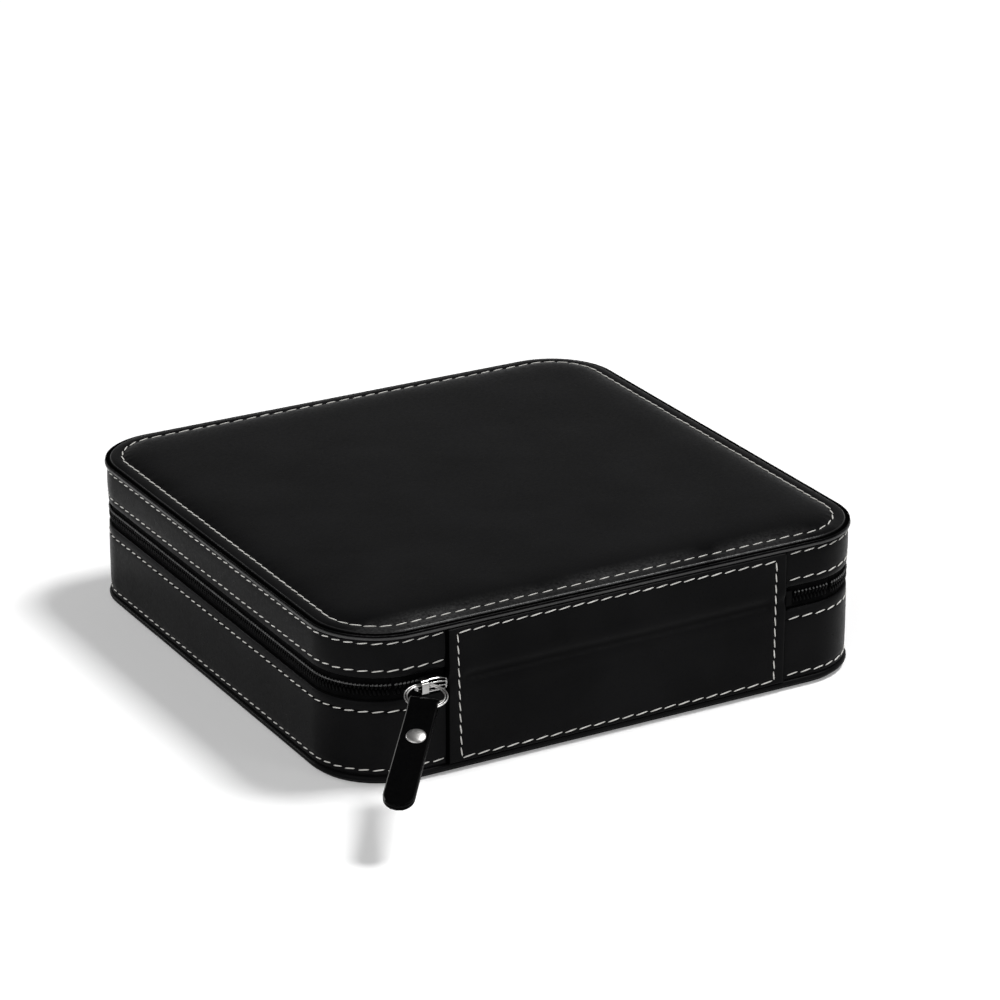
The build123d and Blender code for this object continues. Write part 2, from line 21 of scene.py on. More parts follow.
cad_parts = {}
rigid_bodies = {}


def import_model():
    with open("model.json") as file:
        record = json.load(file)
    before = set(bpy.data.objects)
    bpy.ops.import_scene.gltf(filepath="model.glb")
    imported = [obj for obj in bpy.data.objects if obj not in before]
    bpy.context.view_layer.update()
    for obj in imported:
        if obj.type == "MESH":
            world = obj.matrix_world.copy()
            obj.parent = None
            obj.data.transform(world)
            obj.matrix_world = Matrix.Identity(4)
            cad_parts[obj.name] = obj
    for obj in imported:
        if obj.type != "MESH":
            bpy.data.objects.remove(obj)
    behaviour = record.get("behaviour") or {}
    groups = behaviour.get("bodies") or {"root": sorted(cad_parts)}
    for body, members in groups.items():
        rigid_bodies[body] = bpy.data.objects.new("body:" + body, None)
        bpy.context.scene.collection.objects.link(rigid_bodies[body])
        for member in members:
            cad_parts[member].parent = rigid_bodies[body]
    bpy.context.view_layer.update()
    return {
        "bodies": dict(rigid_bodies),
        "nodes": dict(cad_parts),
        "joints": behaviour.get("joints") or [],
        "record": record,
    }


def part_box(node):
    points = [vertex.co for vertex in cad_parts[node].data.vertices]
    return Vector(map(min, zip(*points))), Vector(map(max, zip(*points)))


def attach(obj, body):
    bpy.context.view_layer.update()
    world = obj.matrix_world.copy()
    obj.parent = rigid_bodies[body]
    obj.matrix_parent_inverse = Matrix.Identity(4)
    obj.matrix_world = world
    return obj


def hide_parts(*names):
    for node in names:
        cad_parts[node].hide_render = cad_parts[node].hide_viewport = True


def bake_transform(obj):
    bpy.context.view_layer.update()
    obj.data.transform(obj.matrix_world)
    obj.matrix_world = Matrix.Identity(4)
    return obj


LOG = logging.getLogger("watch_case")
MM = 0.001


class Body(Enum):
    """The frame's moving bodies."""

    BASE = "base"
    LID = "lid"
    SLIDER = "slider"
    RING = "ring"
    PULLER = "puller"


class Slot(Enum):
    """The record's material slots."""

    LEATHER = "case_leather"
    LINING = "lining_cloth"
    PILLOW = "pillow_cloth"
    BOARD = "board"
    FOAM = "foam"
    TAPE = "zip_tape"
    COIL = "zip_coil"
    NICKEL = "nickel"


def mm(x: float, y: float, z: float) -> Vector:
    """Return a point given in millimetres as metres."""
    return Vector((x, y, z)) * MM


class NodeGraph:
    """A material's node tree, with short calls to add and join its nodes."""

    def __init__(self, name: str) -> None:
        """Start a material with one Principled shader.

        Args:
            name: the material's name.
        """
        self.material = bpy.data.materials.new(name)
        self.material.use_nodes = True
        self.tree = self.material.node_tree
        self.shader = self.tree.nodes["Principled BSDF"]
        self.coords = self.tree.nodes.new("ShaderNodeTexCoord")

    def add(self, kind: str, **values: float | str) -> bpy.types.Node:
        """Add a node and set its inputs or its own settings by name.

        Args:
            kind: the node's type.
            **values: input values or settings, with spaces written as underscores.

        Returns:
            The new node.
        """
        node = self.tree.nodes.new(kind)
        for key, value in values.items():
            label = key.replace("_", " ")
            if label in node.inputs:
                node.inputs[label].default_value = value
            else:
                setattr(node, key, value)
        return node

    def join(self, source: bpy.types.NodeSocket, target: bpy.types.NodeSocket) -> None:
        """Join two sockets."""
        self.tree.links.new(source, target)

    def noise(self, scale: float, detail: float = 3.0, rough: float = 0.5) -> bpy.types.NodeSocket:
        """Return a noise pattern on object coordinates.

        Args:
            scale: waves per metre.
            detail: how many finer layers it has.
            rough: how strong the finer layers are.

        Returns:
            The pattern's value socket.
        """
        node = self.add("ShaderNodeTexNoise", Scale=scale, Detail=detail, Roughness=rough)
        self.join(self.coords.outputs["Object"], node.inputs["Vector"])
        return node.outputs["Fac"]

    def cells(self, scale: float) -> bpy.types.NodeSocket:
        """Return the distance field of small irregular cells on object coordinates."""
        node = self.add("ShaderNodeTexVoronoi", Scale=scale)
        self.join(self.coords.outputs["Object"], node.inputs["Vector"])
        return node.outputs["Distance"]

    def bump(self, height: bpy.types.NodeSocket, depth: float, strength: float,
             under: bpy.types.NodeSocket | None = None) -> bpy.types.NodeSocket:
        """Turn a height pattern into a surface normal.

        Args:
            height: the pattern.
            depth: its depth in metres.
            strength: how strongly it shows, from 0 to 1.
            under: the normal of a coarser relief below it.

        Returns:
            The normal socket.
        """
        node = self.add("ShaderNodeBump", Strength=strength, Distance=depth)
        self.join(height, node.inputs["Height"])
        if under is not None:
            self.join(under, node.inputs["Normal"])
        return node.outputs["Normal"]

    def spread(self, value: bpy.types.NodeSocket, low: float, high: float) -> bpy.types.NodeSocket:
        """Map a pattern from 0.3-0.7 to a range of plain numbers."""
        node = self.add("ShaderNodeMapRange")
        for key, number in (("From Min", 0.3), ("From Max", 0.7), ("To Min", low), ("To Max", high)):
            node.inputs[key].default_value = number
        self.join(value, node.inputs["Value"])
        return node.outputs["Result"]

    def shade(self, value: bpy.types.NodeSocket, dark: tuple[float, float, float],
              light: tuple[float, float, float]) -> bpy.types.NodeSocket:
        """Colour the shader between two colours by a pattern.

        Args:
            value: the pattern.
            dark: the colour where it is low.
            light: the colour where it is high.

        Returns:
            The colour socket.
        """
        ramp = self.add("ShaderNodeValToRGB")
        ramp.color_ramp.elements[0].position = 0.3
        ramp.color_ramp.elements[0].color = (*dark, 1.0)
        ramp.color_ramp.elements[1].position = 0.7
        ramp.color_ramp.elements[1].color = (*light, 1.0)
        self.join(value, ramp.inputs["Fac"])
        self.join(ramp.outputs["Color"], self.shader.inputs["Base Color"])
        return ramp.outputs["Color"]


@dataclass(frozen=True)
class LeatherFinish:
    """Smooth, near-black imitation leather with a fine grain."""

    name: str = "case leather"
    dark: tuple[float, float, float] = (0.0034, 0.0034, 0.0036)
    light: tuple[float, float, float] = (0.0058, 0.0058, 0.0061)
    roughness: tuple[float, float] = (0.27, 0.4)
    specular: float = 0.0215
    grain_per_m: float = 1700.0
    pore_per_m: float = 3200.0
    crease_per_m: float = 260.0
    grain_depth: float = 0.00005
    grain_strength: float = 0.22
    pore_strength: float = 0.2
    crease_depth: float = 0.00012
    crease_strength: float = 0.18
    sheen_band_y: tuple[float, float] | None = None

    def paint_sheen_band(self, graph: NodeGraph, base: bpy.types.NodeSocket) -> None:
        """Paint a pale sheen into the grain in a band between two Y places near the seam: a painted
        highlight.

        Args:
            graph: the material's nodes.
            base: the leather's own colour.
        """
        axes = graph.add("ShaderNodeSeparateXYZ")
        graph.join(graph.coords.outputs["Object"], axes.inputs["Vector"])
        band = graph.add("ShaderNodeMapRange", interpolation_type="SMOOTHSTEP")
        for key, number in (("From Min", self.sheen_band_y[1] * MM), ("From Max", self.sheen_band_y[0] * MM),
                            ("To Min", 0.0), ("To Max", 1.0)):
            band.inputs[key].default_value = number
        graph.join(axes.outputs["Y"], band.inputs["Value"])
        patch = graph.add("ShaderNodeMath", operation="MULTIPLY", use_clamp=True)
        graph.join(graph.spread(graph.noise(40.0, 3.0), -0.1, 1.0), patch.inputs[0])
        graph.join(band.outputs["Result"], patch.inputs[1])
        speck = graph.add("ShaderNodeMath", operation="MULTIPLY", use_clamp=True)
        graph.join(graph.spread(graph.noise(1100.0, 3.0, 0.7), 0.0, 1.0), speck.inputs[0])
        graph.join(patch.outputs["Value"], speck.inputs[1])
        mix = graph.add("ShaderNodeMix", data_type="RGBA")
        graph.join(speck.outputs["Value"], mix.inputs["Factor"])
        graph.join(base, mix.inputs[6])
        # The pale colour that the band mixes in is a painted sheen.
        mix.inputs[7].default_value = (0.05, 0.05, 0.05, 1.0)
        graph.join(mix.outputs[2], graph.shader.inputs["Base Color"])

    def make(self) -> bpy.types.Material:
        """Return the material."""
        graph = NodeGraph(self.name)
        graph.shader.inputs["Specular IOR Level"].default_value = self.specular
        broad = graph.noise(38.0, 4.0)
        colour = graph.shade(broad, self.dark, self.light)
        if self.sheen_band_y is not None:
            self.paint_sheen_band(graph, colour)
        fine = graph.noise(900.0, 2.0)
        graph.join(graph.spread(fine, *self.roughness), graph.shader.inputs["Roughness"])
        creases = graph.noise(self.crease_per_m, 5.0, 0.6)
        creased = graph.bump(creases, self.crease_depth, self.crease_strength)
        grain = graph.bump(graph.cells(self.grain_per_m), self.grain_depth, self.grain_strength, creased)
        pores = graph.bump(graph.noise(self.pore_per_m, 3.0, 0.7), self.grain_depth, self.pore_strength,
                           grain)
        graph.join(pores, graph.shader.inputs["Normal"])
        return graph.material


@dataclass(frozen=True)
class ClothFinish:
    """Short-pile velvet or plain cloth."""

    name: str
    dark: tuple[float, float, float]
    light: tuple[float, float, float]
    sheen: float = 0.35
    roughness: float = 0.9
    pile_per_m: float = 2600.0

    def make(self) -> bpy.types.Material:
        """Return the material."""
        graph = NodeGraph(self.name)
        graph.shader.inputs["Sheen Weight"].default_value = self.sheen
        graph.shader.inputs["Sheen Roughness"].default_value = 0.45
        graph.shader.inputs["Roughness"].default_value = self.roughness
        graph.shader.inputs["Specular IOR Level"].default_value = 0.2
        graph.shade(graph.noise(70.0, 6.0, 0.65), self.dark, self.light)
        pile = graph.bump(graph.noise(self.pile_per_m, 2.0, 0.7), 0.0002, 0.5)
        graph.join(pile, graph.shader.inputs["Normal"])
        return graph.material


@dataclass(frozen=True)
class TapeFinish:
    """Black woven zip tape with fine ribs."""

    name: str = "zip tape weave"
    rib_per_m: float = 1500.0

    def make(self) -> bpy.types.Material:
        """Return the material."""
        graph = NodeGraph(self.name)
        graph.shader.inputs["Roughness"].default_value = 0.8
        graph.shader.inputs["Specular IOR Level"].default_value = 0.02
        graph.shade(graph.noise(400.0, 4.0), (0.001, 0.001, 0.0011), (0.0022, 0.0022, 0.0024))
        ribs = graph.add("ShaderNodeTexWave", wave_type="BANDS", bands_direction="DIAGONAL",
                         Scale=self.rib_per_m / 6.3, Distortion=0.4)
        graph.join(graph.coords.outputs["Object"], ribs.inputs["Vector"])
        graph.join(graph.bump(ribs.outputs["Fac"], 0.00012, 0.7), graph.shader.inputs["Normal"])
        return graph.material


@dataclass(frozen=True)
class ThreadFinish:
    """Twisted off-white sewing thread."""

    name: str = "sewing thread"
    dark: tuple[float, float, float] = (0.47, 0.46, 0.435)
    light: tuple[float, float, float] = (0.68, 0.67, 0.64)

    def make(self) -> bpy.types.Material:
        """Return the material."""
        graph = NodeGraph(self.name)
        graph.shader.inputs["Roughness"].default_value = 0.62
        graph.shader.inputs["Specular IOR Level"].default_value = 0.3
        graph.shade(graph.noise(600.0, 3.0), self.dark, self.light)
        ply = graph.add("ShaderNodeTexWave", wave_type="BANDS", bands_direction="DIAGONAL", Scale=420.0)
        graph.join(graph.coords.outputs["Object"], ply.inputs["Vector"])
        graph.join(graph.bump(ply.outputs["Fac"], 0.0001, 0.45), graph.shader.inputs["Normal"])
        return graph.material


@dataclass(frozen=True)
class CoilFinish:
    """Satin black nylon of the zip's coil."""

    name: str = "zip coil nylon"

    def make(self) -> bpy.types.Material:
        """Return the material."""
        graph = NodeGraph(self.name)
        graph.shader.inputs["Specular IOR Level"].default_value = 0.022
        graph.shade(graph.noise(500.0, 3.0), (0.0012, 0.0012, 0.0013), (0.0026, 0.0026, 0.0028))
        graph.join(graph.spread(graph.noise(1200.0, 2.0), 0.28, 0.42), graph.shader.inputs["Roughness"])
        graph.join(graph.bump(graph.noise(3000.0, 2.0), 0.00003, 0.3), graph.shader.inputs["Normal"])
        return graph.material


@dataclass(frozen=True)
class NickelFinish:
    """Bright nickel plate with fine handling marks."""

    name: str = "nickel plate"
    dark: tuple[float, float, float] = (0.27, 0.265, 0.26)
    light: tuple[float, float, float] = (0.44, 0.435, 0.43)
    roughness: tuple[float, float] = (0.1, 0.24)

    def make(self) -> bpy.types.Material:
        """Return the material."""
        graph = NodeGraph(self.name)
        graph.shader.inputs["Metallic"].default_value = 1.0
        graph.shade(graph.noise(300.0, 4.0), self.dark, self.light)
        marks = graph.spread(graph.noise(1500.0, 4.0, 0.7), *self.roughness)
        graph.join(marks, graph.shader.inputs["Roughness"])
        graph.join(graph.bump(graph.noise(2200.0, 4.0, 0.7), 0.00003, 0.25), graph.shader.inputs["Normal"])
        return graph.material


@dataclass(frozen=True)
class BoardFinish:
    """Pressed grey board."""

    name: str = "grey board"

    def make(self) -> bpy.types.Material:
        """Return the material."""
        graph = NodeGraph(self.name)
        graph.shader.inputs["Roughness"].default_value = 0.9
        graph.shade(graph.noise(350.0, 6.0, 0.7), (0.24, 0.21, 0.17), (0.36, 0.32, 0.27))
        graph.join(graph.bump(graph.noise(900.0, 4.0), 0.0001, 0.4), graph.shader.inputs["Normal"])
        return graph.material


@dataclass
class Finishes:
    """Every material of the case, made once."""

    leather: bpy.types.Material = field(init=False)
    top: bpy.types.Material = field(init=False)
    groove: bpy.types.Material = field(init=False)
    bead: bpy.types.Material = field(init=False)
    thread: bpy.types.Material = field(init=False)
    edge: bpy.types.Material = field(init=False)
    strap: bpy.types.Material = field(init=False)
    cut_edge_highlight: bpy.types.Material = field(init=False)
    zip_sewing_highlight: bpy.types.Material = field(init=False)
    tape: bpy.types.Material = field(init=False)
    coil: bpy.types.Material = field(init=False)
    nickel: bpy.types.Material = field(init=False)
    satin: bpy.types.Material = field(init=False)
    lining: bpy.types.Material = field(init=False)
    pillow: bpy.types.Material = field(init=False)
    board: bpy.types.Material = field(init=False)
    foam: bpy.types.Material = field(init=False)

    def __post_init__(self) -> None:
        """Make the materials."""
        self.leather = LeatherFinish().make()
        # The top leather has a painted sheen: a pale band near the front seam.
        self.top = LeatherFinish("top leather", sheen_band_y=(-83.5, -77.0)).make()
        # The rolled-edge finish is paler than the case leather: a painted highlight along the top's rolled
        # lip.
        self.edge = LeatherFinish("leather edge with painted highlight", (0.01, 0.01, 0.01), (0.02, 0.02, 0.02),
                                  (0.25, 0.36), 0.16, crease_depth=0.0003, crease_strength=0.5).make()
        # The piping finish is paler still: a painted highlight on the middle of the lid's piping and on the
        # top of the tab's fold.
        self.bead = LeatherFinish("piping with painted highlight", (0.03, 0.03, 0.03), (0.055, 0.055, 0.055),
                                  (0.3, 0.4), 0.14).make()
        # The near-black seam finish is painted shade. It is laid in grooves, on the hinge panel's side edges
        # and in the slider.
        self.groove = LeatherFinish("shaded seam", (0.0004, 0.0004, 0.0004), (0.0008, 0.0008, 0.0008),
                                    (0.7, 0.8), 0.002).make()
        self.strap = LeatherFinish("tab leather", (0.001, 0.001, 0.0011), (0.0016, 0.0016, 0.0017),
                                   specular=0.02).make()
        # The pale edge finish is a painted highlight on the one cut edge of the tab that faces the light.
        self.cut_edge_highlight = LeatherFinish("tab edge with painted highlight", (0.05, 0.05, 0.05), (0.13, 0.13, 0.125),
                                      (0.5, 0.7)).make()
        self.thread = ThreadFinish().make()
        # The pale zip sewing finish is a painted highlight: the dotted glint along the top of the coil.
        self.zip_sewing_highlight = ThreadFinish("zip sewing with painted highlight", (0.04, 0.04, 0.04), (0.11, 0.11, 0.11)).make()
        self.tape = TapeFinish().make()
        self.coil = CoilFinish().make()
        self.nickel = NickelFinish().make()
        self.satin = NickelFinish("satin nickel", (0.5, 0.49, 0.48), (0.68, 0.67, 0.66), (0.3, 0.44)).make()
        self.lining = ClothFinish("lining velvet", (0.016, 0.016, 0.018), (0.032, 0.032, 0.036)).make()
        self.pillow = ClothFinish("pillow velvet", (0.02, 0.02, 0.023), (0.042, 0.042, 0.047),
                                  sheen=0.45).make()
        self.board = BoardFinish().make()
        self.foam = ClothFinish("foam", (0.55, 0.54, 0.5), (0.7, 0.69, 0.65), sheen=0.0).make()

    def for_slot(self, slot: Slot) -> bpy.types.Material:
        """Return the material that stands for one of the record's slots."""
        return {
            Slot.LEATHER: self.leather,
            Slot.LINING: self.lining,
            Slot.PILLOW: self.pillow,
            Slot.BOARD: self.board,
            Slot.FOAM: self.foam,
            Slot.TAPE: self.tape,
            Slot.COIL: self.coil,
            Slot.NICKEL: self.nickel,
        }[slot]


@dataclass(frozen=True)
class Outline:
    """A rounded rectangle in plan, walked by distance from the middle of the hinge side.

    The walk starts at (0, -depth / 2), goes towards +X and on round the case.
    """

    width: float
    depth: float
    radius: float

    @property
    def half_x(self) -> float:
        """Half the straight run along X."""
        return self.width / 2 - self.radius

    @property
    def half_y(self) -> float:
        """Half the straight run along Y."""
        return self.depth / 2 - self.radius

    @property
    def arc(self) -> float:
        """Length of one corner."""
        return self.radius * math.pi / 2

    @property
    def length(self) -> float:
        """Length of the whole walk."""
        return 4 * (self.half_x + self.half_y + self.arc)

    def drawn_in(self, inset: float) -> Outline:
        """Return the outline that lies inside this one by an inset."""
        return Outline(self.width - 2 * inset, self.depth - 2 * inset, self.radius - inset)

    def walk(self, distance: float) -> tuple[Vector, Vector]:
        """Return the place and the outward direction at a distance along the walk.

        Args:
            distance: how far along, in millimetres; it may be negative.

        Returns:
            The place and the outward direction, both in plan.
        """
        left = distance % self.length
        corners = (
            (self.half_x, -self.half_y, -90.0),
            (self.half_x, self.half_y, 0.0),
            (-self.half_x, self.half_y, 90.0),
            (-self.half_x, -self.half_y, 180.0),
        )
        runs = (self.half_x, 2 * self.half_y, 2 * self.half_x, 2 * self.half_y, self.half_x)
        for index, run in enumerate(runs):
            start_angle = math.radians(-90.0 + 90.0 * index)
            outward = Vector((math.cos(start_angle), math.sin(start_angle), 0.0))
            along = Vector((-outward.y, outward.x, 0.0))
            if left <= run or index == 4:
                if index == 0:
                    start = Vector((0.0, -self.depth / 2, 0.0))
                else:
                    corner = corners[index - 1]
                    start = Vector((corner[0], corner[1], 0.0)) + outward * self.radius
                return start + along * left, outward
            left -= run
            if left <= self.arc:
                corner = corners[index]
                angle = math.radians(corner[2]) + left / self.radius
                outward = Vector((math.cos(angle), math.sin(angle), 0.0))
                return Vector((corner[0], corner[1], 0.0)) + outward * self.radius, outward
            left -= self.arc
        raise ValueError("the walk is longer than the outline")

    def depth_at(self, spot: Vector) -> float:
        """Return how far inside the outline a point lies, in millimetres."""
        over_x, over_y = abs(spot.x) - self.half_x, abs(spot.y) - self.half_y
        if over_x > 0 and over_y > 0:
            return self.radius - math.hypot(over_x, over_y)
        return self.radius - max(over_x, over_y)

    def place(self, distance: float, inset: float, height: float) -> Vector:
        """Return a point of the walk, drawn in by an inset, in metres."""
        spot, outward = self.walk(distance)
        return mm(spot.x - outward.x * inset, spot.y - outward.y * inset, height)


Wobble = Callable[[float, int], float]


@dataclass
class Workshop:
    """Turns a bmesh into a finished piece that rides on a body."""

    finishes: Finishes
    made: int = 0

    def piece(self, name: str, bm: bmesh.types.BMesh, material: bpy.types.Material, slot: Slot,
              body: Body | None, replaces: tuple[str, ...] = (), weld: bool = True) -> bpy.types.Object:
        """Finish a mesh as a piece.

        Args:
            name: the piece's name.
            bm: the mesh, which is freed.
            material: its finish.
            slot: the record's slot that it belongs to; not used.
            body: the body that it rides on, or None for none.
            replaces: the CAD nodes that it stands for.
            weld: whether its doubled points are merged and its normals worked out again.

        Returns:
            The new object.
        """
        if weld:
            bmesh.ops.remove_doubles(bm, verts=bm.verts[:], dist=1e-6)
            bmesh.ops.recalc_face_normals(bm, faces=bm.faces[:])
        for face in bm.faces:
            face.smooth = True
        mesh = bpy.data.meshes.new(name)
        bm.to_mesh(mesh)
        bm.free()
        mesh.materials.append(material)
        thing = bpy.data.objects.new(name, mesh)
        bpy.context.scene.collection.objects.link(thing)
        if replaces:
            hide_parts(*replaces)
        if body is not None:
            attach(thing, body.value)
        self.made += 1
        LOG.info("%s: %d faces", name, len(mesh.polygons))
        return thing


def paint_light_and_shade(piece: bpy.types.Object, finish: bpy.types.Material, where: Callable[[Vector, Vector], bool]) -> None:
    """Give some faces of a piece a second finish that paints a highlight or shade onto them.

    Args:
        piece: the piece.
        finish: the second finish, a painted highlight or painted shade.
        where: whether a face gets it, by its middle in millimetres and its normal.
    """
    piece.data.materials.append(finish)
    for face in piece.data.polygons:
        if where(face.center / MM, face.normal):
            face.material_index = len(piece.data.materials) - 1


def add_loop(bm: bmesh.types.BMesh, outline: Outline, inset: float, height: float, count: int,
             wobble: Wobble | None = None, level: int = 0) -> list[bmesh.types.BMEdge]:
    """Add one closed loop along the outline.

    Args:
        bm: the mesh.
        outline: the case's outline.
        inset: how far inside the outline it lies.
        height: its height.
        count: how many points it has.
        wobble: an extra inset by distance and level.
        level: the loop's number in its profile.

    Returns:
        The loop's edges.
    """
    ring = bmesh.ops.create_circle(bm, cap_ends=False, segments=count, radius=1.0)["verts"]
    for index, vert in enumerate(ring):
        distance = outline.length * index / count
        extra = wobble(distance, level) if wobble else 0.0
        vert.co = outline.place(distance, inset + extra, height)
    return list({edge for vert in ring for edge in vert.link_edges})


def loft(bm: bmesh.types.BMesh, outline: Outline, profile: list[tuple[float, float]], count: int,
         closed: bool = True, wobble: Wobble | None = None) -> None:
    """Loft a wall through loops along the outline.

    Args:
        bm: the mesh.
        outline: the case's outline.
        profile: inset and height of each loop, in order.
        count: points in each loop.
        closed: whether the last loop joins the first; otherwise both ends are filled.
        wobble: an extra inset by distance and level.
    """
    loops = [add_loop(bm, outline, inset, height, count, wobble, level)
             for level, (inset, height) in enumerate(profile)]
    for first, second in zip(loops, loops[1:]):
        bmesh.ops.bridge_loops(bm, edges=first + second)
    if closed:
        bmesh.ops.bridge_loops(bm, edges=loops[-1] + loops[0])
    else:
        bmesh.ops.edgeloop_fill(bm, edges=loops[0])
        bmesh.ops.edgeloop_fill(bm, edges=loops[-1])


class Bars:
    """Many small rounded bars in one mesh, such as stitches or zip teeth."""

    def __init__(self, segments: int = 8, rings: int = 6, square: float = 0.74) -> None:
        """Make the pattern that every bar is copied from.

        Args:
            segments: faces round a bar.
            rings: faces along a bar.
            square: how blunt its ends are, from 1 for an egg to 0 for a box.
        """
        bm = bmesh.new()
        bmesh.ops.create_uvsphere(bm, u_segments=segments, v_segments=rings, radius=0.5,
                                  matrix=Matrix.Rotation(math.pi / 2, 4, "Y"))
        for vert in bm.verts:
            vert.co.x = math.copysign(0.5 * abs(2 * vert.co.x) ** square, vert.co.x)
        bm.verts.index_update()
        self.pattern = [vert.co.copy() for vert in bm.verts]
        self.pattern_faces = [tuple(vert.index for vert in face.verts) for face in bm.faces]
        bm.free()
        self.points: list[Vector] = []
        self.faces: list[tuple[int, ...]] = []

    def add(self, centre: Vector, along: Vector, out: Vector, size: tuple[float, float, float]) -> None:
        """Add one bar.

        Args:
            centre: its middle, in metres.
            along: the direction of its length.
            out: the direction that it faces.
            size: its length, width and thickness in millimetres.
        """
        along, out = along.normalized(), out.normalized()
        side = out.cross(along).normalized()
        long, wide, thick = along * (size[0] * MM), side * (size[1] * MM), out * (size[2] * MM)
        first = len(self.points)
        self.points += [centre + long * spot.x + wide * spot.y + thick * spot.z for spot in self.pattern]
        self.faces += [tuple(first + index for index in face) for face in self.pattern_faces]

    def mesh(self) -> bmesh.types.BMesh:
        """Return all the bars as one mesh."""
        data = bpy.data.meshes.new("bars")
        data.from_pydata(self.points, [], self.faces)
        bm = bmesh.new()
        bm.from_mesh(data)
        bpy.data.meshes.remove(data)
        bmesh.ops.recalc_face_normals(bm, faces=bm.faces[:])
        return bm


@dataclass
class Stitching:
    """Rows of off-white saddle stitches."""

    shop: Workshop
    wide: float = 0.43
    thick: float = 0.36
    slant: float = 7.0
    front_pitch: float = 4.75
    side_pitch: float = 3.85
    upright_pitch: float = 3.45
    seed: int = 11
    row_lead: float = 0.4

    def stitch(self, bars: Bars, centre: Vector, along: Vector, out: Vector, long: float) -> None:
        """Add one stitch, laid a little across its row."""
        lean = Matrix.Rotation(math.radians(self.slant), 3, out)
        bars.add(centre, lean @ along, out, (long, self.wide, self.thick))

    def pitch_at(self, outward: Vector) -> float:
        """Return the pitch where the row faces a direction; the sides are sewn finer than the front."""
        share = outward.x * outward.x
        return self.front_pitch + (self.side_pitch - self.front_pitch) * share

    def even_pitch(self, outline: Outline, start: float, stop: float) -> float:
        """Return the factor by which a row's pitch grows so that whole stitches fill it.

        Args:
            outline: the outline that the row follows.
            start: where it starts along the walk.
            stop: where it ends.

        Returns:
            The factor, a little above 1.
        """
        distance = start + self.row_lead
        while True:
            pitch = self.pitch_at(outline.walk(distance)[1])
            if distance + pitch > stop:
                return (stop - start - self.row_lead) / (distance - start - self.row_lead)
            distance += pitch

    def row(self, bars: Bars, outline: Outline, inset: float, height: float, start: float, stop: float,
            fill: tuple[float, float], facing: Vector | None = None) -> None:
        """Add a row along the outline.

        Args:
            bars: what the stitches are added to.
            outline: the outline that it follows.
            inset: how far inside it lies.
            height: its height.
            start: where it starts along the walk.
            stop: where it ends.
            fill: how much of its pitch a stitch covers on the front and on the sides.
            facing: the direction that it faces, or None for a wall's outward direction.
        """
        dice = random.Random(self.seed)
        scale = self.even_pitch(outline, start, stop)
        distance = start + self.row_lead
        while True:
            outward = outline.walk(distance)[1]
            pitch = self.pitch_at(outward) * scale
            if distance + pitch > stop + 0.3 * pitch:
                break
            middle = distance + pitch / 2
            outward = outline.walk(middle)[1]
            along = Vector((-outward.y, outward.x, 0.0))
            centre = outline.place(middle, inset + dice.uniform(-0.06, 0.06),
                                   height + dice.uniform(-0.05, 0.05))
            share = fill[0] + (fill[1] - fill[0]) * outward.x * outward.x
            self.stitch(bars, centre, along, outward if facing is None else facing,
                        pitch * share * dice.uniform(0.95, 1.04))
            distance += pitch

    def line(self, bars: Bars, first: tuple[float, float], second: tuple[float, float], y: float, fill: float,
             arch: float = 0.0) -> None:
        """Add a straight row on a plane that faces -Y.

        Args:
            bars: what the stitches are added to.
            first: X and Z of its start.
            second: X and Z of its end.
            y: the plane's place.
            fill: how much of its pitch a stitch covers.
            arch: how far the row's middle rises.
        """
        step = Vector((second[0] - first[0], 0, second[1] - first[1]))
        pitch = self.front_pitch if abs(step.x) > abs(step.z) else self.upright_pitch
        count = round(step.length / pitch)
        for index in range(count):
            share = (index + 0.5) / count
            spot = Vector((first[0], y, first[1])) + step * share
            spot.z += arch * math.sin(math.pi * share)
            self.stitch(bars, spot * MM, step, Vector((0, -1, 0)), step.length / count * fill)


